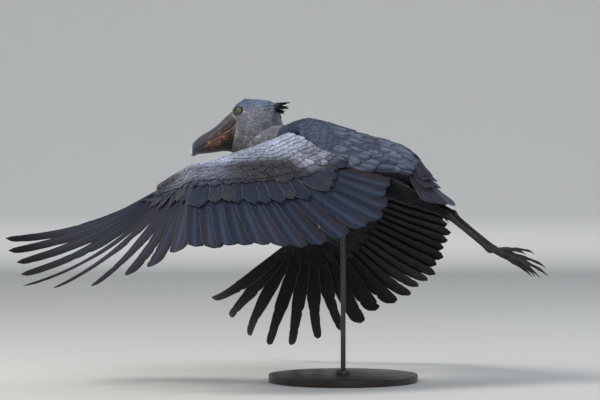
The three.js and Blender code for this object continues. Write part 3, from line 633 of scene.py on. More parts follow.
@dataclass
class Vane:
    """One feather: its outline, its size and how it is coloured."""

    form: Form
    long: float
    wide: float
    rows: int
    columns: int
    outer: float = 0.5
    thick: float = 0.35
    camber: float = 1.2
    splits: int = 0
    rim: float = 0.5

    def grid(self, rng: np.random.Generator) -> tuple[Array, Array, Array, Array]:
        """Lays the vane out flat.

        Args:
            rng: The source of its splits and uneven edges.

        Returns:
            Share along, distance across, height of the upper face, and share across, rows by columns.
        """
        along = np.linspace(0, 1, self.rows)
        along = along + 0.16 * np.sin(np.pi * along) * along * (1 - along)
        half = self.form.half(along)
        edges = []
        for _ in range(2):
            edge = (
                half * (1 + 0.035 * np.convolve(rng.normal(size=self.rows + 2), (0.3, 0.4, 0.3), "valid"))
            )
            for _ in range(self.splits):
                at = rng.integers(int(self.rows * 0.4), self.rows - 1)
                edge[at] *= rng.uniform(0.82, 0.95)
            edges.append(edge)
        share = np.linspace(-1, 1, self.columns)
        out = np.where(
            share > 0, edges[0][:, None] * 2 * self.outer, edges[1][:, None] * 2 * (1 - self.outer)
        )
        across = out * share[None, :] * self.wide
        width = np.maximum(half[:, None] * self.wide, 1)
        high = -self.camber * (across / width) ** 2 * half[:, None] * 2
        ridge = (np.abs(share)[None, :] < 0.01) * 0.9 * (1 - 0.8 * along[:, None])
        rows = np.broadcast_to(along[:, None], across.shape)
        return rows, across, high + ridge, np.broadcast_to((share + 1) / 2, across.shape)


class Surface:
    """Something feathers lie on, read by a place along the wing or body and a distance down the lie."""

    def point(self, place: Array, distance: Array) -> Array:
        """The point of the surface there."""
        raise NotImplementedError

    def spacing(self, place: Array, distance: Array) -> Array:
        """Millimetres to one step of place."""
        return (
            np.linalg.norm(self.point(place + 0.2, distance) - self.point(place - 0.2, distance), axis=-1)
            / 0.4
        )

    def outward(self, place: Array, distance: Array) -> Array:
        """The way out of the surface there."""
        a = self.point(place + 0.1, distance) - self.point(place - 0.1, distance)
        b = self.point(place, distance + 2.0) - self.point(place, distance - 2.0)
        return unit(np.cross(a, b)) * self.hand()

    def hand(self) -> float:
        """The sign that turns the cross product outward."""
        return 1.0

    def unwrap(self, place: float, distance: float) -> Array:
        """Where a root lies on the unwrap."""
        raise NotImplementedError


@dataclass
class Row:
    """How one row of feathers lies: its height at root and tip, its lean across, and its turn."""

    low: float = 1.0
    lift: float = 3.0
    lean: float = 0.8
    turn: float = 0.0


def lay_vane(
    into: Sculpture, surface: Surface, at: tuple[float, float], vane: Vane, row: Row, coat: object,
    rng: np.random.Generator
) -> None:
    """Lays one feather on a surface as a closed vane.

    Args:
        into: The piece it joins.
        surface: What it lies on.
        at: Its root's place and distance.
        vane: Its shape.
        row: How it lies.
        coat: A function of points, share along, share across and face that gives linear colours.
        rng: The source of its variety.
    """
    along, across, high, share = vane.grid(rng)
    distance = at[1] + along * vane.long
    flat = distance.ravel()
    middle = np.full(flat.shape, at[0])
    gap = np.maximum(surface.spacing(middle, flat), 2.0)
    place = at[0] + (across.ravel() + row.turn * along.ravel() * vane.long) / gap
    base = surface.point(place, flat)
    out = surface.outward(middle, flat)
    lean = row.lean * across.ravel() / max(vane.wide * 0.5, 1)
    raise_ = row.low + row.lift * along.ravel() + lean + high.ravel()
    close_vane(into, base, out, raise_, along, share, vane, surface.unwrap(*at), coat, rng)


def close_vane(
    into: Sculpture, base: Array, out: Array, raised: Array, along: Array, share: Array, vane: Vane,
    bake: Array, coat: object, rng: np.random.Generator
) -> None:
    """Gives a laid-out vane its thickness and adds it to a piece.

    Args:
        into: The piece it joins.
        base: Points on the surface below it.
        out: The way out at each point.
        raised: How high its upper face is at each point.
        along: Share along at each point, rows by columns.
        share: Share across at each point.
        vane: Its shape.
        bake: Its root on the unwrap.
        coat: The function that colours it.
        rng: The source of its tint.
    """
    rows, columns = along.shape
    top = (base + out * column(raised)).reshape(rows, columns, 3)
    below = (base + out * column(raised - vane.thick)).reshape(rows, columns, 3)
    rings = np.concatenate([top, below[:, ::-1]], 1)
    points, faces = loft(rings)
    map_ = np.stack([share, along], -1)
    around = np.concatenate([map_, map_[:, ::-1]], 1).reshape(-1, 2)
    upper = np.concatenate([np.ones((rows, columns)), np.zeros((rows, columns))], 1).ravel()
    tint = rng.normal()
    colours = coat(points, around[:, 1], around[:, 0], upper, tint)
    into.add(points, faces, colours, around, np.array([vane.wide, vane.long, vane.rim]), bake)


@dataclass(frozen=True)
class WingPose:
    """Where one wing is in its stroke. A sweep is turned forward, a droop is below the level, in degrees."""

    joint: tuple[float, float]
    arm: tuple[float, float]
    hand: tuple[float, float]
    elbow: tuple[float, float]
    sweeps: tuple[float, ...]
    droops: tuple[float, ...]


POSES = {
    Side.LEFT: WingPose(
        (105, 6), (22.2, 14.5), (80.0, 33.9), (108.4, 52.9),
        (-99, -92, -62.9, -40.6, -27.3, 11.2, 73, 79), (16.8, 27.8, 39.9, 37.1, 36.8, 43.8, 31.3, 16.5),
    ),
    Side.RIGHT: WingPose(
        (105, -8), (22.9, 46.6), (79.1, 24.9), (101.6, 51.0),
        (-98, -91.3, -76, -60.5, -31, 4.2, 42.9, 61.9), (12.1, 14.5, 21.4, 30.1, 37.3, 47.2, 43.7, 22.9),
    ),
}


@dataclass
class WingLay:
    """Where one wing's joints are, and the smooth sheet its feathers lie in, as in the solids."""

    side: Side
    arm: float = 405
    hand: float = 140
    elbow_at: float = 0.36
    inmost_at: float = 0.1
    secondaries: int = 14
    primaries: int = 10
    lengths: tuple[float, ...] = (290, 358, 377, 382, 386, 450, 584, 560)
    widths: tuple[float, ...] = (58, 62, 62, 62, 61, 56, 50, 44)
    bends: tuple[float, ...] = (10, 12, 13, 14, 16, 27, 44, 60)
    steps: tuple[float, ...] = (2.4, 2.4, 2.4, 2.5, 3, 3.4, 3.4, 3)
    overlaps: tuple[float, ...] = (0.97, 0.97, 0.97, 0.97, 0.97, 1.2, 1.9, 1.9)
    quill: float = 7
    hand_curve: float = 36

    def __post_init__(self) -> None:
        """Works out the joints from the pose."""
        pose = POSES[self.side]
        self.pose = pose
        self.last = self.secondaries + self.primaries - 1
        self.joint = body(0, self.side.value * pose.joint[0], pose.joint[1])
        self.arm_way = pointing(self.side, *pose.arm)
        self.hand_way = pointing(self.side, *pose.hand)
        self.wrist = self.joint + self.arm_way * self.arm
        self.tip = self.wrist + self.hand_way * self.hand
        back = np.array([pose.elbow[0], 0, -pose.elbow[1]])
        self.elbow = self.joint + self.arm_way * self.arm * self.elbow_at + back
        self.inmost = self.joint + self.arm_way * self.arm * self.inmost_at + back * 0.9
        front = np.cross(self.hand_way, [-math.sin(0.2), 0.6 * self.side.value, 0.8])
        front = front / np.linalg.norm(front)
        self.hand_front = -front if front[0] > 0 else front

    def root(self, place: Array) -> Array:
        """The feather's root at a place."""
        inward = (self.secondaries - 0.5 - place) / self.secondaries
        outward = -inward * self.secondaries / self.primaries
        on_hand = (
            self.wrist + (self.tip - self.wrist) * column(outward)
            + self.hand_front * column(outward * self.hand_curve)
        )
        fore = 2 * self.elbow_at
        on_fore = self.wrist + (self.elbow - self.wrist) * column(inward / fore)
        on_upper = self.elbow + (self.inmost - self.elbow) * column((inward - fore) / (1 - fore))
        return np.where(column(inward < 0), on_hand, np.where(column(inward < fore), on_fore, on_upper))

    def along(self, place: Array) -> Array:
        """The way the feather points at a place."""
        share = place / self.last
        return pointing(self.side, run(self.pose.sweeps, share), run(self.pose.droops, share))

    def chord(self, place: Array) -> Array:
        """The feather's length at a place."""
        return run(self.lengths, place / self.last)

    def middle(self, place: Array) -> Array:
        """The middle of the feather at a place."""
        return self.root(place) + self.along(place) * column(self.chord(place) * 0.5)

    def axes(self, place: Array) -> tuple[Array, Array, Array]:
        """Along the feather, out to the next one, and up off its upper face."""
        along = self.along(place)
        out = self.middle(np.minimum(place + 0.6, self.last)) - self.middle(np.maximum(place - 0.6, 0))
        out = unit(out - along * column(dot(out, along)))
        up = np.cross(out, along)
        return along, out, np.where(column(up[..., 2] < 0), -up, up)

    def arc(self, place: Array, distance: Array) -> Array:
        """A point of the gentle arc of the feather at a place, a distance from its root."""
        along, _, up = self.axes(place)
        chord, bend = self.chord(place), np.radians(run(self.bends, place / self.last))
        radius = chord / (2 * np.sin(bend / 2))
        turn = bend * (distance / chord - 0.5)
        forward = radius * (np.sin(turn) + np.sin(bend / 2))
        rise = radius * (np.cos(bend / 2) - np.cos(turn))
        return self.root(place) + along * column(forward) + up * column(rise)

    def sheet(self, place: Array, distance: Array) -> Array:
        """A point of the smooth sheet, carried straight on past its first and last feathers."""
        inside = np.clip(place, 0, self.last)
        point = self.arc(inside, distance)
        inner = self.arc(
            np.where(inside <= 0, 0.5, np.where(inside >= self.last, self.last - 0.5, inside)), distance
        )
        return point + (inner - point) * column(-2 * np.abs(place - inside))

    def up(self, place: Array, distance: Array) -> Array:
        """Up off the sheet at a place."""
        inside = np.clip(place, 0, self.last)
        along, _, up = self.axes(inside)
        turn = np.radians(run(self.bends, inside / self.last)) * (distance / self.chord(inside) - 0.5)
        return up * column(np.cos(turn)) - along * column(np.sin(turn))

    def bed(self, place: float, distance: Array, across: Array) -> tuple[Array, Array]:
        """A flight feather's own bed: where a point lies, and which way is up there."""
        here = np.full(distance.shape, float(place))
        out = self.axes(here)[1]
        middle, up = self.arc(here, distance), self.up(here, distance)
        over = self.sheet(here + 0.5, distance) - self.sheet(here - 0.5, distance)
        spacing = np.maximum(dot(over, out), self.quill)
        most = run(self.overlaps, place / self.last)
        steps = np.clip(across / spacing, -most, most)
        rise = (
            dot(self.sheet(here + steps, distance) - middle, up)
            + steps * run(self.steps, place / self.last)
        )
        return middle + out * column(steps * spacing) + up * column(rise), up

    def lead(self, place: Array) -> Array:
        """The arm's leading edge ahead of a place."""
        inward = np.clip((self.secondaries - 0.5 - place) / self.secondaries, 0, 1.1)
        outward = np.clip((place - self.secondaries + 0.5) / self.primaries, 0, 1.1)
        share = 1 - 0.94 * inward
        on_arm = self.joint + self.arm_way * column(self.arm * share)
        on_arm = on_arm + np.stack([-17.5 - 16.5 * (1 - share), 0 * share, 4.5 + 0 * share], -1)
        on_hand = (
            self.wrist + (self.tip - self.wrist) * column(outward)
            + self.hand_front * column(20 + 28 * outward)
        )
        return on_arm + (on_hand - on_arm) * column(smooth(12.6, 14.6, place))


@dataclass
class WingFace(Surface):
    """The arm's skin from its leading edge back to the roots, and the sheet beyond them."""

    lay: WingLay
    face: Face
    thickness: tuple[float, ...] = (18, 17, 15.5, 14, 13.5, 13, 11.5, 9)
    upper: tuple[float, ...] = (0, 0.8, 0.98, 1, 0.96, 0.84, 0.66, 0.4)
    under: tuple[float, ...] = (0, 0.42, 0.47, 0.48, 0.46, 0.44, 0.38, 0.3)

    def __post_init__(self) -> None:
        """Reads the face once on a close grid, because thousands of feathers ask for it."""
        self.places = np.arange(-3.5, self.lay.last + 2.01, 0.125)
        self.distances = np.arange(-170.0, 330.1, 3.0)
        place, distance = np.meshgrid(self.places, self.distances, indexing="ij")
        self.grid = self.exact(place.ravel(), distance.ravel()).reshape(*place.shape, 3)
        self.turned = 1
        middle = np.array([7.0]), np.array([60.0])
        if dot(self.outward(*middle), self.lay.up(*middle))[0] * self.face.value < 0:
            self.turned = -1

    def reach(self, place: Array) -> Array:
        """How far the leading edge is ahead of the root."""
        return np.linalg.norm(self.lay.root(place) - self.lay.lead(place), axis=-1)

    def point(self, place: Array, distance: Array) -> Array:
        """The face's point, read from the grid."""
        i = np.clip((place - self.places[0]) / 0.125, 0, len(self.places) - 1.001)
        j = np.clip((distance - self.distances[0]) / 3.0, 0, len(self.distances) - 1.001)
        a, b = i.astype(int), j.astype(int)
        u, v = column(i - a), column(j - b)
        near = self.grid[a, b] * (1 - u) + self.grid[a + 1, b] * u
        far = self.grid[a, b + 1] * (1 - u) + self.grid[a + 1, b + 1] * u
        return near * (1 - v) + far * v

    def exact(self, place: Array, distance: Array) -> Array:
        """The arm's face ahead of the roots, the sheet's behind them."""
        lay = self.lay
        inside = np.clip(place, 0, lay.last)
        root, lead = lay.root(inside), lay.lead(inside)
        chord = root - lead
        reach = np.linalg.norm(chord, axis=-1)
        up = lay.axes(inside)[2]
        way = unit(chord)
        up = unit(up - way * column(dot(up, way)))
        thick = run(self.thickness, inside / lay.last)
        share = np.clip(1 + distance / reach, 0, 1)
        heights = self.upper if self.face is Face.UPPER else self.under
        behind = np.exp(-np.maximum(distance, 0) / 45)
        high = run(heights, share) * thick * behind * self.face.value
        ahead = root - way * column(np.minimum(-distance, reach))
        on_sheet = lay.sheet(place, np.maximum(distance, 0))
        base = np.where(column(distance < 0), ahead + (lay.sheet(place, 0 * distance) - root), on_sheet)
        return base + up * column(high)

    def outward(self, place: Array, distance: Array) -> Array:
        """Out of the face, always on its own side of the sheet."""
        sign = self.face.value * self.lay.side.value * self.turned
        return super().outward(place, distance) * sign

    def unwrap(self, place: float, distance: float) -> Array:
        """Place along one side of the square and distance along the other."""
        return np.array([(place + 1) / 26, (distance + 160) / 800])


SLATE = linear("202a3d")
SLATE_DARK = linear("1f242e")
# Near black painted as shade: the under faces of wing and tail feathers, the body's underside and lower
# flanks.
PAINTED_SHADE = linear("06070a")
LILAC = linear("a5aec2")
BROWN = linear("352d2e")
PALE_GREY = linear("878da0")
MANTLE = linear("414c64")
HEAD_GREY = linear("8b8f9c")
HEAD_BROWN = linear("6a635e")
CROWN_BLUE = linear("7182a2")


def toward(a: Array, b: Array, share: Array) -> Array:
    """Colours drawn from a towards b."""
    return a + (b - a) * column(share)


@dataclass
class Wing:
    """One wing: flight feathers, three tiers of coverts on both faces, and the small ones over the arm."""

    side: Side
    flight_rows: int = 34
    flight_columns: int = 11
    seed: int = 41

    def __post_init__(self) -> None:
        """Lays the wing out."""
        self.lay = WingLay(self.side)
        self.rng = np.random.default_rng(self.seed + self.side.value)
        self.surfaces = {face: WingFace(self.lay, face) for face in Face}

    def unwrap(self, place: float, distance: float) -> Array:
        """Where a root lies on the wing's unwrap."""
        return np.array([(place + 2) / 28, (distance + 160) / 800])

    def flight_coat(self, place: float) -> object:
        """The colours of one flight feather: slate above with a browner trailing web and painted shade over
        the outer primaries' tips, and painted shade below.
        """
        outer = smooth(13, 19, place)
        worn = self.rng.uniform(-0.12, 0.16)

        def coat(points: Array, along: Array, across: Array, upper: Array, tint: float) -> Array:
            """Colours for its corners."""
            top = toward(
                np.broadcast_to(SLATE, (len(points), 3)), SLATE_DARK,
                0.3 + 0.6 * outer * smooth(0.35, 1, along)
            )
            top = toward(top, linear("3b3338"), np.clip(worn * 2 + 0.7 * smooth(0.55, 0.1, across), 0, 0.8))
            top = toward(
                top, linear("5c6882"),
                0.28 * np.exp(-(((across - 0.57) / 0.1) ** 2)) * smooth(0.1, 0.6, along)
            )
            top = top * (1 + 0.09 * tint) * column(0.82 + 0.3 * smooth(0.0, 0.9, along) * (1 - 0.5 * outer))
            # Painted shade: the outer primaries' tips darkened almost to black.
            top = toward(top, linear("0c0c0f"), outer * smooth(0.62, 0.95, along) * 0.85)
            # The under face is painted shade.
            return np.where(column(upper > 0.5), top, PAINTED_SHADE * (1 + 0.15 * tint))

        return coat

    def flight(self) -> bpy.types.Object:
        """The secondaries and primaries, each on its own bed."""
        into = Sculpture()
        lay = self.lay
        for i in range(lay.last + 1):
            primary = i - lay.secondaries
            wide = float(run(lay.widths, i / lay.last)) * (1.22 - 0.22 * float(smooth(10, 16, i)))
            form = Form.FINGERED if primary >= 3 else Form.BROAD
            long = float(lay.chord(np.array(float(i)))) * self.rng.uniform(0.955, 1.025)
            start = -3.0 if primary >= 0 else -13.0
            outer = 0.48 - 0.12 * max(0, primary) / 9
            vane = Vane(
                form, long - start, wide, self.flight_rows, self.flight_columns, outer, 0.45, 2.3, 2, 0.24
            )
            along, across, high, share = vane.grid(self.rng)
            base, up = lay.bed(i, start + along.ravel() * vane.long, across.ravel())
            close_vane(
                into, base, up, high.ravel() + 0.4, along, share, vane, self.unwrap(i, 60),
                self.flight_coat(i), self.rng
            )
        return into.piece(
            f"flight_{self.side.name.lower()}",
            FeatherFinish(f"flight_web_{self.side.name.lower()}", warmth=0.5).build()
        )

    def covert_coat(self, place: float, distance: float, long: float, face: Face) -> object:
        """The colours of one covert, by where it grows: pale at the leading edge, then a brown patch
        darkened partly by painted shade; its under face is painted shade.
        """
        reach = float(self.surfaces[face].reach(np.array(place)))
        brown = math.exp(-(((place - 5.6) / 4.0) ** 4)) * self.rng.uniform(0.6, 1.0)

        def coat(points: Array, along: Array, across: Array, upper: Array, tint: float) -> Array:
            """Colours for its corners."""
            # Painted shade on the under face, a little lighter near the leading edge.
            if face is Face.UNDER:
                near = smooth(-0.2, -0.9, np.full(len(points), distance / max(reach, 20)))
                return (
                    toward(np.broadcast_to(PAINTED_SHADE * 1.25, (len(points), 3)), linear("2b2d33"), near)
                    * (1 + 0.15 * tint)
                )
            at = distance + along * long
            ahead = smooth(-0.02, -0.5, at / max(reach, 45)) * smooth(19, 13, place)
            near_wrist = smooth(8.2, 11.5, place) * smooth(75, 15, at) * smooth(19, 15, place) * 0.85
            base = toward(
                np.broadcast_to(MANTLE * 0.62, (len(points), 3)), SLATE * 0.95, smooth(20, 110, at)
            )
            base = toward(base, PALE_GREY, np.clip(near_wrist + 0.06, 0, 1))
            # A brown patch, its darkness partly painted shade from the feathers lying over it.
            patch = brown * np.exp(-(((at - 12) / 66) ** 4))
            base = toward(base, BROWN, patch * 0.9)
            base = toward(base, linear("57504f"), np.clip(self_tint, 0, 0.35) * smooth(0.35, 0.9, along))
            shoulder = 1 + 0.25 * smooth(5.5, 1.0, place) + 0.3 * smooth(4.5, 8.0, place)
            inner = smooth(3.4, 1.4, place) * smooth(105, 30, at)
            streaky = toward(
                np.broadcast_to(LILAC * 1.1, (len(points), 3)), linear("a08f90"), smooth(0.3, 0.8, across)
            )
            base = toward(base, streaky, inner * self_pale)
            base = toward(base, LILAC * shoulder, ahead * (0.8 + 0.2 * smooth(7, 1.5, place)))
            return base * (1 + 0.1 * tint)

        self_tint = self.rng.uniform(-0.3, 0.5)
        self_pale = self.rng.uniform(0.45, 0.95)
        return coat

    def covert_row(
        self, into: Sculpture, face: Face, places: Array, start: float, long: object, wide: float, row: Row,
        rim: float, parts: tuple[int, int]
    ) -> None:
        """Lays one row of coverts.

        Args:
            into: The piece it joins.
            face: The wing's face.
            places: Where along the wing each grows.
            start: The distance of its root from the flight feathers' roots.
            long: Its length, or a function of place.
            wide: Its width.
            row: How it lies.
            rim: The strength of its pale rim.
            parts: Rows and columns of each vane.
        """
        surface = self.surfaces[face]
        for place in places:
            here = float(place) + self.rng.uniform(-0.12, 0.12)
            length = (long(here) if callable(long) else long) * self.rng.uniform(0.92, 1.08)
            begin = start + self.rng.uniform(-3, 3)
            vane = Vane(
                Form.SHORT, length, wide * self.rng.uniform(0.92, 1.1), *parts, 0.5, 0.3, 1.0, 1, rim
            )
            leaning = Row(
                row.low, row.lift, row.lean * self.side.value, row.turn + self.rng.uniform(-0.08, 0.08)
            )
            lay_vane(
                into, surface, (here, begin), vane, leaning, self.covert_coat(here, begin, length, face),
                self.rng
            )

    def coverts(self, face: Face) -> bpy.types.Object:
        """All the coverts of one face, from the greater ones to the smallest at the leading edge."""
        into = Sculpture()
        lay = self.lay
        upper = face is Face.UPPER
        greater = 0.42 if upper else 0.34
        hand = np.arange(lay.secondaries - 0.5, lay.last + 0.4, 1.0)
        arm = np.arange(-1.5, lay.secondaries, 1.0)
        rim = 0.5 if upper else 0.0
        self.covert_row(
            into, face, hand, -6, lambda p: 128 - 4.5 * max(0, p - 16), 34, Row(3.0, 4.8, 0.9), rim, (12, 7)
        )
        self.covert_row(
            into, face, arm, -14, lambda p: float(lay.chord(np.array(max(p, 0)))) * greater + 14, 58,
            Row(3.2, 4.6, 1.1), rim, (14, 9)
        )
        self.covert_row(into, face, hand, -8, 76, 26, Row(3.4, 6.6, 0.9), rim, (9, 7))
        self.covert_row(
            into, face, np.arange(-1.8, 14, 0.8), -26, 100, 44, Row(3.3, 6.6, 1.0), rim * 1.2, (11, 7)
        )
        self.covert_row(
            into, face, np.arange(-1.9, 14.4, 0.62), -30, 78, 34, Row(2.4, 8.8, 0.9), rim * 1.4, (9, 7)
        )
        surface = self.surfaces[face]
        step = 15.0
        for k in range(9):
            start = -36 - k * step * (1 if upper else 1.3)
            small = k / 8
            dense = 0.5 - 0.12 * small
            places = np.arange(-2.0 + 0.25 * (k % 2), 23.4, dense)
            reach = surface.reach(np.clip(places, 0, lay.last))
            grows = places[-start < reach - 3]
            self.covert_row(
                into, face, grows, start, 54 - 22 * small, 29 - 10 * small, Row(1.2, 9.2 - 5 * small, 0.7),
                rim * (1.6 - 1.0 * small), (8, 5)
            )
        if upper:
            for k in range(6):
                places = np.arange(6.5 + 0.2 * (k % 2), 23.2, 0.42)
                self.covert_row(
                    into, face, places, 20 - 12 * k, 34 - 2 * k, 25 - 1.5 * k,
                    Row(3.6 - 0.3 * k, 9.2 - 0.8 * k, 0.7), rim * 1.9, (8, 5)
                )
        self.marginals(into, face)
        return into.piece(
            f"coverts_{face.name.lower()}_{self.side.name.lower()}",
            FeatherFinish(
                f"covert_web_{face.name.lower()}_{self.side.name.lower()}", warmth=0.3, rim="a09d9f"
            ).build()
        )

    def marginals(self, into: Sculpture, face: Face) -> None:
        """The smallest coverts, set along the leading edge itself and out round the hand's tip."""
        surface = self.surfaces[face]
        for k in range(4):
            for place in np.arange(-2.0 + 0.12 * (k % 2), 23.6, 0.26):
                reach = float(surface.reach(np.clip(np.array(place), 0, self.lay.last)))
                begin = -reach + 0.5 + k * 7.5
                length = self.rng.uniform(17, 24)
                vane = Vane(Form.SHORT, length, self.rng.uniform(12, 15), 6, 5, 0.5, 0.25, 0.6, 0, 0.25)
                row = Row(0.7, 3.4, 0.5 * self.side.value, self.rng.uniform(-0.1, 0.1))
                lay_vane(
                    into, surface, (float(place), begin), vane, row,
                    self.covert_coat(float(place), begin, length, face), self.rng
                )

    def build(self) -> list[bpy.types.Object]:
        """Makes the whole wing and hides the solid wing."""
        pieces = [self.flight(), self.coverts(Face.UPPER), self.coverts(Face.UNDER)]
        for made in pieces:
            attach(made, "root")
        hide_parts(f"wing_{self.side.name.lower()}")
        return pieces


def profile(known: Array, values: Array, x: Array) -> Array:
    """A smooth curve through unevenly spaced values."""
    slopes = np.gradient(values, known)
    i = np.clip(np.searchsorted(known, x) - 1, 0, len(known) - 2)
    wide = known[i + 1] - known[i]
    u = np.clip((x - known[i]) / wide, 0, 1)
    w = 1 - u
    ends = values[i] * (1 + 2 * u) * w * w + values[i + 1] * u * u * (3 - 2 * u)
    return ends + wide * (slopes[i] * u * w * w - slopes[i + 1] * u * u * w)


def oval(angle: Array, half: Array, above: Array, below: Array, power: float) -> tuple[Array, Array]:
    """A rounded section, its angle counted from straight up. The power squares its shoulders."""
    across = np.sign(np.sin(angle)) * np.abs(np.sin(angle)) ** power
    high = np.sign(np.cos(angle)) * np.abs(np.cos(angle)) ** power
    return half * across, high * np.where(high > 0, above, below)


@dataclass
class Trunk(Surface):
    """Trunk and neck in one run from throat to rump, by the same stations as the solids.

    Each station: behind the shoulders, top and bottom against their height, and half the width.
    """

    stations: tuple[tuple[float, ...], ...] = (
        (-252, -37, -56, 9), (-235, -8, -78, 30), (-200, 24, -102, 46), (-160, 45, -125, 56),
        (-120, 52, -141, 64), (-78, 50, -151, 71), (-40, 60, -153, 80), (0, 69, -158, 91),
        (60, 61, -170, 96), (113, 46, -175, 97), (164, 30, -176, 94), (230, 13, -167, 85),
        (292, -2, -153, 72), (350, -24, -140, 55), (398, -60, -130, 34), (424, -92, -112, 12),
    )
    inset: float = 0.0
    around: float = 36.0

    def section(self, back: Array, angle: Array) -> Array:
        """The point at a distance behind the shoulders and an angle from the top, negative to the left."""
        known = np.array(self.stations, float)
        top, bottom, half = (profile(known[:, 0], known[:, k], back) for k in (1, 2, 3))
        high = np.maximum((top - bottom) / 2 - self.inset, 2)
        y, z = oval(angle, np.maximum(half - self.inset, 2), high, high, 0.92)
        return np.stack([SHOULDER[0] + back, y, SHOULDER[2] + (top + bottom) / 2 + z], -1)

    def point(self, place: Array, distance: Array) -> Array:
        """Place is counted round the body in steps of ten degrees, distance back from the shoulders."""
        return self.section(distance, place * 2 * np.pi / self.around)

    def outward(self, place: Array, distance: Array) -> Array:
        """Out from the body's middle line."""
        out = super().outward(place, distance)
        away = (
            self.point(place, distance)
            - np.stack([SHOULDER[0] + distance, 0 * distance, SHOULDER[2] - 45 + 0 * distance], -1)
        )
        return np.where(column(dot(out, away) < 0), -out, out)

    def unwrap(self, place: float, distance: float) -> Array:
        """Round the body one way, along it the other."""
        return np.array([(place / self.around + 0.5) % 1.0, (distance + 260) / 720])


@dataclass
class Mantle:
    """The large feathers of the back: mantle, scapulars over the wings' roots, rump and flanks."""

    trunk: Trunk = field(default_factory=lambda: Trunk(inset=4.0))
    seed: int = 77

    def coat(self, place: float, back: float) -> object:
        """Blue-grey, with a pale painted highlight along the top of the back, and painted shade on the lower
        flanks.
        """
        rng = np.random.default_rng(int(1000 + place * 37 + back))
        worn = rng.uniform(-0.3, 0.5)

        def colours(points: Array, along: Array, across: Array, upper: Array, tint: float) -> Array:
            """Colours for its corners."""
            low = smooth(8.2, 11, abs(place))
            base = toward(
                np.broadcast_to(MANTLE, (len(points), 3)), linear("5a6478"), 0.4 * smooth(0.2, 0.9, along)
            )
            base = toward(base, linear("4e4a4e"), np.clip(worn, 0, 0.5))
            # A painted highlight: a pale stripe along the top of the back.
            band = (
                math.exp(-(((place + 0.4) / 2.0) ** 2)) * float(smooth(330, 250, back))
                * float(smooth(105, 150, back))
            )
            base = toward(base, linear("8f97a8"), band * 0.65 * (0.6 + 0.4 * np.cos(9 * across)))
            # Painted shade on the lower flanks.
            base = toward(base, PAINTED_SHADE * 1.6, np.full(len(points), float(low) * 0.85))
            return base * (1 + 0.1 * tint)

        return colours

    def scapular_coat(self, pale: float) -> object:
        """A long scapular's colours: dark slate, lighter beside the shaft, worn brown along one edge."""

        def colours(points: Array, along: Array, across: Array, upper: Array, tint: float) -> Array:
            """Colours for its corners."""
            base = toward(
                np.broadcast_to(MANTLE * 0.72, (len(points), 3)), linear("7886a0"),
                pale * smooth(0.3, 0.95, along)
            )
            base = toward(
                base, linear("8e96aa"),
                0.5 * np.exp(-(((across - 0.56) / 0.1) ** 2)) * smooth(0.2, 0.7, along)
            )
            base = toward(base, linear("3f3739"), 0.6 * smooth(0.34, 0.04, across))
            return base * (1 + 0.1 * tint)

        return colours

    def scapulars(self, rng: np.random.Generator) -> bpy.types.Object:
        """Lays the long feathers that fall from the shoulders over the wings' roots and the flanks."""
        into = Sculpture()
        for side in (-1, 1):
            for k, back in enumerate(np.arange(268, 30, -54.0)):
                for place in np.arange(1.5 + 0.4 * (k % 2), 9.4, 0.8):
                    long = (118 + 40 * float(smooth(2, 6, place))) * rng.uniform(0.85, 1.1)
                    vane = Vane(
                        Form.LONG, min(long, 400 - back), rng.uniform(32, 41), 20, 9, 0.5, 0.4, 2.2, 1, 0.7
                    )
                    row = Row(
                        2.6, 7.0 + 2.5 * float(smooth(3, 6, place)), 1.3 * side,
                        side * rng.uniform(0.0, 0.12)
                    )
                    at = (side * (place + rng.uniform(-0.12, 0.12)), back + rng.uniform(-9, 9))
                    lay_vane(
                        into, self.trunk, at, vane, row, self.scapular_coat(rng.uniform(0.0, 0.5)), rng
                    )
        made = into.piece(
            "scapular_feathers", FeatherFinish("scapular_web", warmth=0.3, rim="8f929c").build()
        )
        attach(made, "root")
        return made

    def build(self) -> list[bpy.types.Object]:
        """Lays the rows from the rump forward, each over the roots behind it, and then the scapulars."""
        rng = np.random.default_rng(self.seed)
        into = Sculpture()
        for k, back in enumerate(np.arange(345, -45, -17.0)):
            far = (back + 45) / 390
            for place in np.arange(-12.4 + 0.36 * (k % 2), 12.6, 0.82):
                scapular = (
                    math.exp(-(((abs(place) - 5.8) / 2.7) ** 2)) * float(smooth(-20, 50, back))
                    * float(smooth(290, 190, back))
                )
                long = (58 + 30 * scapular + 8 * far) * rng.uniform(0.92, 1.08)
                wide = (27 + 11 * scapular) * rng.uniform(0.92, 1.08)
                room = 424 - back
                vane = Vane(
                    Form.SHORT, min(long, room * 0.93), wide, 8, 5, 0.5, 0.35, 1.4, 1, 0.3 + 0.4 * scapular
                )
                row = Row(
                    0.8 + 1.6 * scapular, 5.2 + 3.5 * scapular, 0.9 * (1 if place > 0 else -1),
                    rng.uniform(-0.07, 0.07)
                )
                at = (place + rng.uniform(-0.1, 0.1), back + rng.uniform(-4, 4))
                lay_vane(into, self.trunk, at, vane, row, self.coat(place, back), rng)
        made = into.piece("mantle_feathers", FeatherFinish("mantle_web", warmth=0.25, rim="8f929c").build())
        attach(made, "root")
        return [made, self.scapulars(rng)]


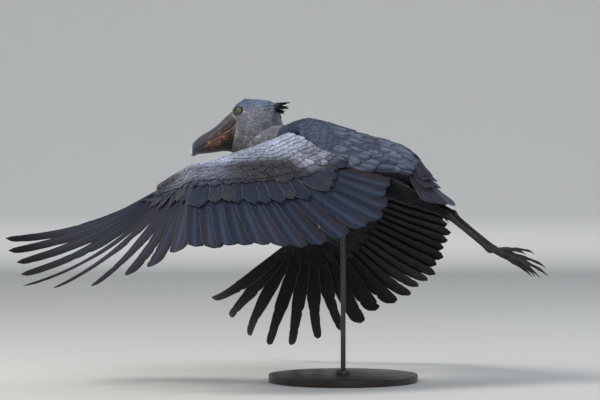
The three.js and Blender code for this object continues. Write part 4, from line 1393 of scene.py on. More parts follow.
@dataclass
class Tail:
    """Twelve broad tail feathers spread and pressed down, and the coverts over and under their roots."""

    down: float = 42
    yaw: float = 5
    count: int = 12
    splay: float = 31
    long: float = 166
    wide: float = 40
    roots: float = 17
    seed: int = 9

    def __post_init__(self) -> None:
        """Works out the tail's axes."""
        d = math.radians(self.down)
        self.way = np.array([math.cos(d), 0, -math.sin(d)])
        self.over = np.array([math.sin(d), 0, math.cos(d)])
        self.across = np.array([0.0, 1, 0])
        self.root = body(396, 0, -97)
        self.rng = np.random.default_rng(self.seed)

    def coat(self, points: Array, along: Array, across: Array, upper: Array, tint: float) -> Array:
        """Slate above, painted shade below."""
        top = toward(
            np.broadcast_to(SLATE * 1.3, (len(points), 3)), linear("4a4443"),
            0.45 * smooth(0.5, 0.05, across)
        )
        top = toward(
            top, linear("8a92a4"),
            0.45 * np.exp(-(((across - 0.57) / 0.09) ** 2)) * smooth(0.15, 0.6, along)
        )
        # The under face is painted shade.
        return np.where(column(upper > 0.5), top * (1 + 0.12 * tint), PAINTED_SHADE * 1.3)

    def feather(
        self, into: Sculpture, form: Form, turn: float, side: float, long: float, wide: float,
        raise_: float, sunk: float
    ) -> None:
        """Adds one feather of the fan.

        Args:
            into: The piece it joins.
            form: Its outline.
            turn: Degrees from the tail's middle.
            side: How far from the middle it is rooted.
            long: Its length.
            wide: Its width.
            raise_: How high it lies off the tail's plane.
            sunk: How deep its root is sunk.
        """
        a = math.radians(turn - self.yaw)
        way = self.way * math.cos(a) + self.across * math.sin(a)
        out = self.across * math.cos(a) - self.way * math.sin(a)
        root = self.root + self.across * side - way * sunk + self.over * raise_
        vane = Vane(form, long + sunk, wide, 24, 9, 0.5, 0.4, 1.2, 2, 0.35)
        along, across, high, share = vane.grid(self.rng)
        length = along.ravel() * vane.long
        bend = math.radians(5)
        radius = vane.long / (2 * math.sin(bend / 2))
        arch = bend * (along.ravel() - 0.5)
        rise = radius * (math.cos(bend / 2) - np.cos(arch))
        base = root + way * column(length) + out * column(across.ravel()) + self.over * column(rise)
        up = np.broadcast_to(self.over, base.shape)
        bake = np.array([0.5 + turn / 90, 0.3 + raise_ / 90])
        close_vane(into, base, up, high.ravel(), along, share, vane, bake, self.coat, self.rng)

    def build(self) -> bpy.types.Object:
        """Makes the fan."""
        into = Sculpture()
        for k in range(self.count):
            place = 2 * k / (self.count - 1) - 1
            rank = math.floor(abs(k - (self.count - 1) / 2))
            order = rank * 2 + (0 if k < self.count / 2 else 1)
            long = self.long * (1 - 0.06 * rank / 5) * self.rng.uniform(0.98, 1.02)
            self.feather(
                into, Form.BROAD, place * self.splay, place * self.roots, long, self.wide, 9 - order * 2.1,
                8
            )
        for tier, (number, reach, spread, low) in enumerate(
            [(11, 92, 27, 16), (9, 66, 25, 24), (9, 48, 24, 29)]
        ):
            for k in range(number):
                share = 2 * k / (number - 1) - 1
                order = abs(k - (number - 1) / 2) * 2 + (k > number / 2)
                long = reach * self.rng.uniform(0.93, 1.05)
                self.feather(
                    into, Form.SHORT, share * spread, share * 15, long, 33 - 4 * tier, low - order * 1.3, 14
                )
        for k in range(9):
            share = k / 4 - 1
            self.feather(
                into, Form.SHORT, share * 22, share * 12, 80 * self.rng.uniform(0.9, 1.05), 32,
                -16 - abs(k - 4) * 1.4, 6
            )
        made = into.piece("tail_feathers", FeatherFinish("tail_web", warmth=0.4).build())
        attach(made, "root")
        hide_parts("tail")
        return made


@dataclass(frozen=True)
class HeadAxes:
    """The head's own axes: forward along the bill and up, from the middle of the skull."""

    back: float = -182
    up: float = 58
    yaw: float = 13

    def place(self, forward: Array, side: Array, up: Array) -> Array:
        """Points given in the head's own axes."""
        f, s, u = np.broadcast_arrays(*(np.asarray(v, float) for v in (forward, side, up)))
        c, n = math.cos(math.radians(self.yaw)), math.sin(math.radians(self.yaw))
        turned = np.stack([-f * c - s * n, -f * n + s * c, u], -1)
        return turned + body(self.back, 0, self.up)

    def read(self, points: Array) -> tuple[Array, Array, Array]:
        """Forward, side and up of points, in the head's own axes."""
        q = points - body(self.back, 0, self.up)
        c, n = math.cos(math.radians(self.yaw)), math.sin(math.radians(self.yaw))
        return -(q[..., 0] * c + q[..., 1] * n), -q[..., 0] * n + q[..., 1] * c, q[..., 2]


HEAD = HeadAxes()
GAPE = (48.0, 4.5)
CULMEN_EDGE = (77.5, 41.6)
CHIN_EDGE = (84.0, -102.0)
EYE_AT = (47.0, 37.5, 38.0)


def before_bill(forward: Array, up: Array) -> Array:
    """How far a point of the head is in front of the line where feathers end, negative behind it."""
    ends = [(np.array(GAPE), np.array(CULMEN_EDGE)), (np.array(CHIN_EDGE), np.array(GAPE))]
    found = []
    for a, b in ends:
        way = (b - a) / np.linalg.norm(b - a)
        found.append((forward - a[0]) * way[1] - (up - a[1]) * way[0])
    return np.where(up > GAPE[1], found[0], found[1])


@dataclass
class Bill:
    """The great bill: an upper half with keel, grooves and hooked nail, and a lower half inside the hook.

    Each station: forward, top, mouth, bottom and half the width.
    """

    stations: tuple[tuple[float, ...], ...] = (
        (40, 48, 7, -98, 42), (60, 47, -7, -99, 45), (77, 41, -21, -99, 46), (90, 29, -31, -96, 47),
        (111, 10, -45, -95, 50), (136, -13, -61, -98, 51), (163, -31, -74, -102, 48),
        (188, -45, -86, -104, 41), (205, -58, -93, -107, 31), (
            216, -69, -96, -113, 20
        ), (224, -82, -97, -110, 7),
    )
    gap: float = 0.7
    rings: int = 110
    across: int = 64

    def half_bill(self, upper: bool) -> tuple[Array, Array]:
        """Rings of one half: their points, and share along and round."""
        known = np.array(self.stations, float)
        ahead = np.linspace(40, 224.4 if upper else 198, self.rings)
        ahead = 40 + (ahead[-1] - 40) * (1 - (1 - (ahead - 40) / (ahead[-1] - 40)) ** 1.25)
        top, mouth, bottom, half = (profile(known[:, 0], known[:, k], ahead) for k in (1, 2, 3, 4))
        hook = smooth(196.5, 202, ahead) if upper else 0 * ahead
        least = np.pi / 2 * (1 + hook)
        rings, grown = [], []
        for i, f in enumerate(ahead):
            angle = (
                np.linspace(-least[i], least[i], self.across) if upper
                else np.linspace(np.pi / 2, 1.5 * np.pi, self.across)
            )
            y, z = oval(angle, half[i], top[i] - mouth[i], mouth[i] - bottom[i], 0.8)
            y, z = self.carve(f, y, z, mouth[i], half[i])
            shift = self.gap / 2 * (1 - hook[i]) * (1 if upper else -1)
            edge_y = np.linspace(y[-1], y[0], 12)[1:-1]
            roof = (
                (0.10 * half[i] * (1 - hook[i])) * (1 - (edge_y / max(half[i], 1)) ** 2)
                * (1 if upper else -1)
            )
            ring = np.concatenate(
                [
                    np.stack([y, z + shift], -1),
                    np.stack([edge_y, roof + shift + (z[0] if hook[i] > 0 else 0)], -1)
                ]
            )
            rings.append(HEAD.place(f, ring[:, 0], mouth[i] + ring[:, 1]))
            around = np.concatenate([np.linspace(0, 1, self.across), np.full(10, 0.5)])
            grown.append(np.stack([np.full(len(around), (f - 40) / 184), around], -1))
        return np.array(rings), np.array(grown).reshape(-1, 2)

    def carve(
        self, f: float, y: Array, z: Array, mouth: float, half: float
    ) -> tuple[Array, Array]:
        """Shapes one section: the keel, a groove each side of it, the nostrils, and the rear tucked in.

        Args:
            f: How far forward the section is.
            y: Across.
            z: Up from the mouth.
            mouth: The mouth's height.
            half: Half the width.

        Returns:
            The shaped section.
        """
        over = z > 0
        z = np.where(over, z * (1 - 0.1 * np.minimum(1, np.abs(y) / (half * 0.35))), z)
        beside = (
            np.exp(-(((np.abs(y) - half * 0.5) / 3.2) ** 2)) * 0.6 * over * smooth(60, 95, f)
            * smooth(214, 200, f)
        )
        z = z - 1.5 * beside
        turn = math.radians(-38)
        df, dz = f - 97, mouth + z - 13
        long, high = df * math.cos(turn) + dz * math.sin(turn), -df * math.sin(turn) + dz * math.cos(turn)
        slit = np.exp(-((long / 9) ** 4) - ((high / 1.7) ** 2)) * over
        y = y - np.sign(y) * 3.5 * slit
        behind = np.maximum(0, -before_bill(np.full(z.shape, f), mouth + z) + 1.0)
        tuck = 1 - 0.30 * np.clip(behind / 26, 0, 1) ** 0.8
        lip = np.exp(-((z / 2.2) ** 2)) * smooth(50, 80, f) * smooth(205, 190, f)
        return y * tuck + np.sign(y) * 0.3 * lip, z * np.where(over, tuck, 1) - np.where(
            over, 0, z * (1 - tuck) * 0.4
        )

    def coat(self, points: Array) -> tuple[Array, Array]:
        """The bill's colours and where it is blotched: purple-grey ridge, slate sides, a painted highlight
        on the nail, painted shade along the mouth line and in the nostrils.
        """
        known = np.array(self.stations, float)
        f, y, z = HEAD.read(points)
        mouth = profile(known[:, 0], known[:, 2], f)
        top = profile(known[:, 0], known[:, 1], f)
        half = profile(known[:, 0], known[:, 4], f)
        high = (z - mouth) / np.maximum(top - mouth, 4)
        base = toward(
            np.broadcast_to(linear("322f37"), points.shape), linear("4a4356"), smooth(0.45, 0.95, high)
        )
        base = toward(base, linear("6c6770"), smooth(0.55, 0.8, high) * smooth(150, 60, f) * 0.6)
        base = toward(base, linear("0e0d10"), smooth(-0.1, -0.7, (z - mouth) / 40))
        base = toward(base, linear("3a4250"), smooth(168, 200, f) * 0.7)
        # Painted highlight: the nail's tip painted pale blue-white.
        base = toward(base, linear("cdd6e6"), smooth(207, 217, f) * 0.85)
        # Painted shade along the mouth line, in the gap between the two halves.
        mouth_shade = np.exp(-(((z - mouth) / 2.1) ** 2)) * smooth(202, 196, f)
        base = toward(base, linear("0e0c0e"), mouth_shade)
        near_edge = np.exp(-(((before_bill(f, z) - 4) / 3.0) ** 2)) * smooth(-70, 10, z)
        base = toward(base, linear("a39c94"), near_edge * 0.55)
        df, dz = f - 97, z - 13
        turn = math.radians(-38)
        slit = np.exp(
            -(((df * math.cos(turn) + dz * math.sin(turn)) / 9) ** 4)
            - (((-df * math.sin(turn) + dz * math.cos(turn)) / 2.2) ** 2)
        )
        # Painted shade in the nostril slits.
        base = toward(base, linear("09080a"), slit * (np.abs(y) > half * 0.2))
        blotch = smooth(58, 80, f) * smooth(170, 138, f) * np.exp(-(((z - mouth + 9) / 20) ** 4))
        blotch = blotch * np.clip(0.75 + 0.5 * ripple(points, 17), 0, 1)
        return base, np.clip(blotch, 0, 1)

    def build(self) -> list[bpy.types.Object]:
        """Makes both halves."""
        made = []
        for upper, name in ((True, "bill_upper"), (False, "bill_lower")):
            rings, grown = self.half_bill(upper)
            points, faces = loft(rings)
            piece = mesh_object(name + "_horn", points * MM, faces)
            colours, blotch = self.coat(points)
            paint(piece, colours)
            layer = piece.data.attributes.new("Blotch", "FLOAT", "POINT")
            layer.data.foreach_set("value", blotch.astype(np.float32))
            loops = loop_corners(piece.data)
            for map_name in ("OFBake", "Vane"):
                uv = piece.data.uv_layers.new(name=map_name)
                uv.uv.foreach_set("vector", grown[loops].astype(np.float32).ravel())
            piece.data.materials.append(
                HornFinish("bill_horn_" + name[5:], streaks=0.62, roughness=0.52).build()
            )
            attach(piece, "root")
            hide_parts(name)
            made.append(piece)
        return made


@dataclass
class Eye:
    """One eye with its two lids and the ring of bare skin about it."""

    side: Side
    radius: float = 9.5
    lid: float = 10.4
    lid_thick: float = 1.9

    def ball(self) -> bpy.types.Object:
        """The eyeball, its iris and pupil set about its own outward axis."""
        rings, spokes = 40, 56
        polar = np.linspace(0.02, np.pi - 0.02, rings)
        spin = np.arange(spokes) * 2 * np.pi / spokes
        bulge = 1 + 0.05 * np.exp(-((polar / 0.55) ** 2))
        axis = HEAD.place(0.18, self.side.value, 0.02) - HEAD.place(0, 0, 0)
        axis = axis / np.linalg.norm(axis)
        a = unit(np.cross(axis, [0, 0, 1.0]))
        b = np.cross(axis, a)
        rim = np.cos(spin)[:, None] * a + np.sin(spin)[:, None] * b
        shape = axis * np.cos(polar)[:, None, None] + rim[None] * np.sin(polar)[:, None, None]
        centre = HEAD.place(EYE_AT[0], self.side.value * EYE_AT[1], EYE_AT[2])
        points, faces = loft(centre + shape * (self.radius * bulge)[:, None, None])
        made = mesh_object(f"eye_{self.side.name.lower()}_ball", points * MM, faces)
        map_ = np.stack([np.tile(spin / (2 * np.pi), rings), np.repeat(polar / (np.pi / 2), spokes)], -1)
        uv = made.data.uv_layers.new(name="Vane")
        uv.uv.foreach_set("vector", map_[loop_corners(made.data)].astype(np.float32).ravel())
        made.data.materials.append(EyeFinish(f"wet_eye_{self.side.name.lower()}").build())
        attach(made, "root")
        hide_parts(f"eye_{self.side.name.lower()}")
        return made

    def lids(self) -> bpy.types.Object:
        """A soft fold round the opening, thicker above, that meets in a corner fore and aft."""
        turn = np.linspace(0, 2 * np.pi, 65)[:-1]
        wide = self.lid * (1.06 + 0.06 * np.cos(2 * turn))
        high = self.lid * np.where(np.sin(turn) > 0, 0.80, 0.86)
        forward = EYE_AT[0] + wide * np.cos(turn)
        up = EYE_AT[2] + high * np.sin(turn)
        proud = 42.4 + 0.9 * np.sin(turn) - 1.6 * np.abs(np.cos(turn)) ** 3
        thick = (
            self.lid_thick * (1 + 0.35 * np.maximum(np.sin(turn), 0))
            * (1 - 0.35 * np.abs(np.cos(turn)) ** 6)
        )
        section = np.arange(12) * 2 * np.pi / 12
        rings = []
        for k in range(len(turn)):
            c, s = math.cos(turn[k]), math.sin(turn[k])
            out = thick[k] * 1.5 * np.cos(section)
            rise = thick[k] * np.sin(section)
            rings.append(
                HEAD.place(
                    forward[k] + out * c, self.side.value * (proud[k] + rise - 0.25 * out), up[k] + out * s
                )
            )
        rings.append(rings[0])
        points, faces = loft(np.array(rings), closed_ends=False)
        count = len(points) - 12
        faces = np.where(faces >= count, faces - count, faces)
        made = mesh_object(f"lids_{self.side.name.lower()}", points[:count] * MM, faces)
        fold = np.tile(np.cos(section), len(turn))
        paint(
            made,
            toward(
                np.broadcast_to(linear("2a292c"), (count, 3)), linear("5f5b57"),
                smooth(-0.2, -0.95, fold) * 0.8
            )
        )
        made.data.materials.append(SkinFinish(f"lid_skin_{self.side.name.lower()}").build())
        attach(made, "root")
        return made

    def build(self) -> list[bpy.types.Object]:
        """Makes the eye and its lids."""
        return [self.ball(), self.lids()]


class Region(Enum):
    """The parts of the skin, each with its own plumage: spacing, length and width of its feathers."""

    FACE = (1, 3.0, 9.5, 4.2)
    HEAD = (2, 3.9, 16.0, 5.2)
    NECK = (3, 5.6, 27.0, 8.6)
    THIGH = (5, 6.8, 28.0, 10.0)
    BARE = (9, 0.0, 0.0, 0.0)


@dataclass
class Legs:
    """Both legs: feathered thighs, bare shanks, and four long toes each, trailing."""

    hip: tuple[float, float, float] = (318, -146, 45)
    ankle: tuple[float, float, float] = (514, -234, 24)
    foot: tuple[float, float, float] = (658, -339, 22)
    toes: tuple[tuple[float, ...], ...] = (
        (4, 27, 160, 6.6), (-5, 22, 192, 7), (-13, 16, 172, 6.6), (-7, 1, 130, 6.2)
    )

    def line(self, side: Side) -> tuple[Array, Array, Array]:
        """Hip, ankle and foot of one leg."""
        return tuple(
            body(back, side.value * out, up) for back, up, out in (self.hip, self.ankle, self.foot)
        )

    def toe_line(self, side: Side, toe: tuple[float, ...]) -> Array:
        """The line of one toe from its root to its claw's tip, in thirty steps."""
        _, ankle, foot = self.line(side)
        on = unit(foot - ankle)
        level = unit(np.array([on[0], on[1], 0.0]))
        turn, drop, long, _ = toe
        a = math.radians(-side.value * turn)
        way = np.array(
            [
                level[0] * math.cos(a) - level[1] * math.sin(a),
                level[0] * math.sin(a) + level[1] * math.cos(a), 0.0
            ]
        )
        aim = way * math.cos(math.radians(drop)) - np.array([0, 0, math.sin(math.radians(drop))])
        start = foot + on * 2 + np.cross(level, [0, 0, 1.0]) * (-side.value * turn * 0.35)
        stops = ((0, 0), (0.2, 2.6), (0.4, 3.4), (0.6, 2.2), (0.8, 0), (0.9, -3.5), (1.0, -11))
        return through([start + aim * long * s + np.array([0, 0, lift]) for s, lift in stops], 40)

    def flesh(self) -> list[Array]:
        """Rings for the thighs, shanks and toes."""
        forms = []
        for side in Side:
            hip, ankle, foot = self.line(side)
            down, on = unit(ankle - hip), unit(foot - ankle)
            stops = [
                hip - down * 40, hip, hip + (ankle - hip) * 0.3, hip + (ankle - hip) * 0.6,
                hip + (ankle - hip) * 0.86, ankle, ankle + on * 14
            ]
            share = np.linspace(0, 1, 40)
            forms.append(tube(through(stops, 40), run((22, 32, 26.5, 17, 10.2, 11.5, 8.5), share) - 1.0))
            lower = [
                ankle - down * 12, ankle + on * 3, ankle + (foot - ankle) * 0.14,
                ankle + (foot - ankle) * 0.5, ankle + (foot - ankle) * 0.86, foot, foot + on * 14
            ]
            forms.append(
                tube(
                    through(lower, 48),
                    run((10.5, 11.8, 8.3, 7.2, 7.8, 10.5, 8), share=np.linspace(0, 1, 48))
                )
            )
            for toe in self.toes:
                radius = toe[3]
                sizes = run((1.0, 0.84, 1.0, 0.74, 0.94, 0.68, 0.8, 0.5), np.linspace(0, 1, 33)) * radius
                forms.append(tube(self.toe_line(side, toe)[:33], sizes))
        return forms

    def claws(self) -> bpy.types.Object:
        """The curved claws, one at the end of each toe."""
        rings_all, faces_all, count = [], [], 0
        for side in Side:
            for toe in self.toes:
                line = self.toe_line(side, toe)[30:]
                sizes = np.linspace(toe[3] * 0.56, 0.5, len(line))
                points, faces = loft(tube(line, sizes, 12))
                rings_all.append(points)
                faces_all.append(faces + count)
                count += len(points)
        points = np.concatenate(rings_all)
        made = mesh_object("claws", points * MM, np.concatenate(faces_all))
        paint(
            made,
            toward(
                np.broadcast_to(linear("161518"), points.shape), linear("35322f"),
                0.4 + 0.4 * ripple(points, 9)
            )
        )
        uv = made.data.uv_layers.new(name="Vane")
        along = points[loop_corners(made.data)]
        uv.uv.foreach_set("vector", (along[:, [0, 1]] * 0.01).astype(np.float32).ravel())
        made.data.materials.append(HornFinish("claw_horn", streaks=0.0, roughness=0.35).build())
        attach(made, "root")
        return made


@dataclass
class Skin:
    """The one skin of the bird: trunk, neck, head, arms, tail stub, legs and toes, grown together."""

    wings: dict[Side, Wing]
    legs: Legs = field(default_factory=Legs)
    grain: float = 0.0034
    coat_deep: float = 3.0
    skull: tuple[tuple[float, ...], ...] = (
        (-78, 8, -40, 18), (-70, 40, -62, 31), (-60, 57, -80, 40), (-44, 66, -92, 46), (-15, 71, -103, 49),
        (18, 73, -107, 50), (50, 69, -108, 49), (66, 58, -106, 47), (80, 40, -103, 45), (90, 29, -101, 43),
    )

    def skull_rings(self) -> Array:
        """Rings of the skull, drawn in under the bill and hollowed a little before the eye."""
        known = np.array(self.skull, float)
        ahead = np.linspace(-78, 88, 60)
        top, bottom, half = (profile(known[:, 0], known[:, k], ahead) for k in (1, 2, 3))
        middle = (top + bottom) / 2 + 12
        angle = np.arange(48) * 2 * np.pi / 48
        rings = []
        for i, f in enumerate(ahead):
            deep = self.coat_deep
            y, z = oval(
                angle, max(half[i] - deep, 3), max(top[i] - middle[i] - deep * 0.4, 3),
                max(middle[i] - bottom[i] - deep, 3), 0.88
            )
            z = z + middle[i]
            front = np.maximum(0, before_bill(np.full(z.shape, f), z))
            tuck = 1 - 0.16 * np.clip(front / 14, 0, 1)
            from_eye = np.hypot(f - EYE_AT[0], z - EYE_AT[2])
            socket = (
                2.8 * np.exp(-((from_eye / 12.5) ** 4))
                + 1.6 * np.exp(-(((f - 60) / 8) ** 2) - ((z - 26) / 9) ** 2)
            )
            brow = 1.7 * np.exp(-(((z - 53) / 5) ** 2) - ((f - 45) / 17) ** 2)
            y = np.sign(y) * np.maximum(np.abs(y) * tuck - socket + brow, 0)
            rings.append(HEAD.place(f, y, middle[i] + (z - middle[i]) * tuck))
        return np.array(rings)

    def arm_rings(self, wing: Wing) -> Array:
        """Rings of one arm between its two faces, from inside the trunk to past the hand's tip."""
        upper, under = wing.surfaces[Face.UPPER], wing.surfaces[Face.UNDER]
        rings = []
        for place in np.linspace(-3.0, wing.lay.last + 0.5, 60):
            inside = np.clip(np.array(place), 0, wing.lay.last)
            reach = float(upper.reach(inside))
            down = np.linspace(-reach + 2, 9, 14)
            spots = np.full(down.shape, place)
            high = upper.point(spots, down) - upper.outward(spots, down) * 1.6
            low = under.point(spots, down[::-1]) - under.outward(spots, down[::-1]) * 1.6
            rings.append(np.concatenate([high, low]))
        return np.array(rings)

    def forms(self) -> list[Array]:
        """Every form of flesh as rings."""
        trunk = Trunk(inset=self.coat_deep + 1)
        back = np.linspace(-251, 423, 110)
        angle = np.arange(56) * 2 * np.pi / 56
        rings = np.array([trunk.section(np.full(56, b), angle) for b in back])
        found = [rings, self.skull_rings(), *self.legs.flesh()]
        for side, wing in self.wings.items():
            found.append(self.arm_rings(wing))
            shoulder = [
                body(40, side.value * 40, -12), body(34, side.value * 84, -14),
                wing.lay.root(np.array(0.0)) * 0.5 + wing.lay.lead(np.array(0.0)) * 0.5
            ]
            found.append(tube(through(shoulder, 14), np.linspace(44, 17, 14), 20))
        return found

    def grow(self) -> bpy.types.Object:
        """Joins the forms into one closed skin by a close remesh, then softens it."""
        points_all, faces_all, count = [], [], 0
        for rings in self.forms():
            points, faces = loft(rings)
            points_all.append(points)
            faces_all.append(faces + count)
            count += len(points)
        made = mesh_object("skin", np.concatenate(points_all) * MM, np.concatenate(faces_all))
        remesh = made.modifiers.new("remesh", "REMESH")
        remesh.mode, remesh.voxel_size, remesh.use_smooth_shade = "VOXEL", self.grain, True
        soften = made.modifiers.new("soften", "SMOOTH")
        soften.factor, soften.iterations = 0.5, 3
        mesh = bpy.data.meshes.new_from_object(made.evaluated_get(bpy.context.evaluated_depsgraph_get()))
        made.modifiers.clear()
        made.data = mesh
        return made

    def regions(self, points: Array) -> tuple[Array, Array]:
        """Which region each corner of the skin is in, and how bare it is."""
        f, _, z = HEAD.read(points)
        back = points[:, 0] - SHOULDER[0]
        up = points[:, 2] - SHOULDER[2]
        on_head = (f > -75) & (back < -95) & (z > -112)
        edge = before_bill(f, z)
        found = np.zeros(len(points))
        found[(back < -8) & (np.abs(points[:, 1]) < 97)] = Region.NECK.value[0]
        found[on_head & (f > -95)] = Region.HEAD.value[0]
        found[on_head & (edge > -34) & (f > 10)] = Region.FACE.value[0]
        eye = np.hypot(f - EYE_AT[0], z - EYE_AT[2])
        found[on_head & ((edge > 1.0) | (eye < 11.5))] = Region.BARE.value[0]
        share = (back - self.legs.hip[0]) / (self.legs.ankle[0] - self.legs.hip[0])
        low = np.interp(back, [250, 318, 396, 514], [-140, -118, -150, -214])
        thigh = (back > 262) & (up < low + 8) & (share < 0.94) & (np.abs(points[:, 1]) > 3)
        found[thigh] = Region.THIGH.value[0]
        return found, smooth(0.80, 0.9, share) * (up < low + 40)

    def coat(self, points: Array) -> Array:
        """The skin's colours, the same that its feathers carry, with painted shade under the body and on the
        thighs.
        """
        f, _, z = HEAD.read(points)
        back = points[:, 0] - SHOULDER[0]
        up = points[:, 2] - SHOULDER[2]
        patchy = ripple(points, 23)
        base = toward(
            np.broadcast_to(MANTLE * 0.8, points.shape), HEAD_BROWN * 0.85,
            smooth(-78, -125, back) * (0.55 + 0.35 * patchy)
        )
        head = smooth(-100, -88, f) * smooth(-84, -98, back)
        cheek = toward(
            np.broadcast_to(HEAD_GREY, points.shape), HEAD_BROWN,
            np.clip(0.12 + 0.4 * patchy + smooth(-20, -80, z) * 0.5, 0, 1)
        )
        cheek = (
            cheek
            * column(1 + 0.35 * ripple(points, 8, 2.0) * smooth(0, -60, z) - 0.25 * smooth(-50, -95, z))
        )
        cheek = toward(cheek, CROWN_BLUE, smooth(34, 58, z) * 0.85)
        cheek = toward(
            cheek, linear("262427"), np.exp(-((np.hypot(f - 58, (z - 34) * 0.75) / 17) ** 4)) * 0.92
        )
        cheek = toward(
            cheek, linear("9a9aa2"), np.exp(-(((f - 12) / 26) ** 2) - ((z - 24) / 11) ** 2) * 0.6
        )
        cheek = toward(
            cheek, linear("9a978f"),
            np.exp(-(((before_bill(f, z) + 5) / 5) ** 2)) * smooth(25, -5, z) * smooth(-90, -50, z) * 0.55
        )
        base = toward(base, cheek, head)
        # Painted shade under the body.
        under = smooth(-60, -125, up) * smooth(-150, -60, back)
        base = toward(base, PAINTED_SHADE * 1.7, under * 0.9)
        # Painted shade on the thighs.
        base = toward(base, linear("17181b"), smooth(290, 330, back) * smooth(-100, -135, up) * 0.9)
        return toward(base, linear("141315"), smooth(470, 500, back) * smooth(-120, -150, up))

    def lie(self, points: Array) -> Array:
        """The way feathers lie: back from the bill, down cheeks and neck, along the body and the legs."""
        f, _, z = HEAD.read(points)
        back = points[:, 0] - SHOULDER[0]
        up = points[:, 2] - SHOULDER[2]
        rear = HEAD.place(-1, 0, 0) - HEAD.place(0, 0, 0)
        way = np.broadcast_to(rear, points.shape) + np.stack([0 * f, 0 * f, -smooth(30, -60, z) * 0.7], -1)
        trunk = np.broadcast_to(np.array([1.0, 0, -0.12]), points.shape)
        leg = unit(np.array([196.0, 0, -88.0]))
        way = toward(way, trunk, smooth(-110, -50, back))
        return toward(
            way, np.broadcast_to(leg, points.shape), smooth(270, 320, back) * smooth(-90, -125, up)
        )

    def build(self) -> bpy.types.Object:
        """Makes the skin, with its markings and what its plumage reads."""
        made = self.grow()
        points = corners(made)
        region, bare = self.regions(points)
        paint(made, self.coat(points))
        mesh = made.data
        for name, kind, values in (
            ("Region", "FLOAT", region), ("Bare", "FLOAT", bare), ("Lie", "FLOAT_VECTOR", self.lie(points)),
            ("Root", "FLOAT_VECTOR", self.unwrap(points))
        ):
            layer = mesh.attributes.new(name, kind, "POINT")
            layer.data.foreach_set(
                "value" if kind == "FLOAT" else "vector", values.astype(np.float32).ravel()
            )
        uv = mesh.uv_layers.new(name="OFBake")
        uv.uv.foreach_set(
            "vector", self.unwrap(points)[loop_corners(mesh)][:, :2].astype(np.float32).ravel()
        )
        mesh.materials.append(SkinFinish("skin").build())
        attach(made, "root")
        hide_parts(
            "torso", "neck", "head",
            *(f"{part}_{side.name.lower()}" for part in ("leg", "tarsus", "foot") for side in Side)
        )
        return made

    def unwrap(self, points: Array) -> Array:
        """Round the body one way, along it the other, as rows of three."""
        back = (points[:, 0] - SHOULDER[0] + 400) / 1200
        round_ = np.arctan2(points[:, 1], points[:, 2] - SHOULDER[2] + 45) / (2 * np.pi) + 0.5
        return np.stack([np.clip(round_, 0.005, 0.995), np.clip(back, 0.005, 0.995), 0 * back], -1)


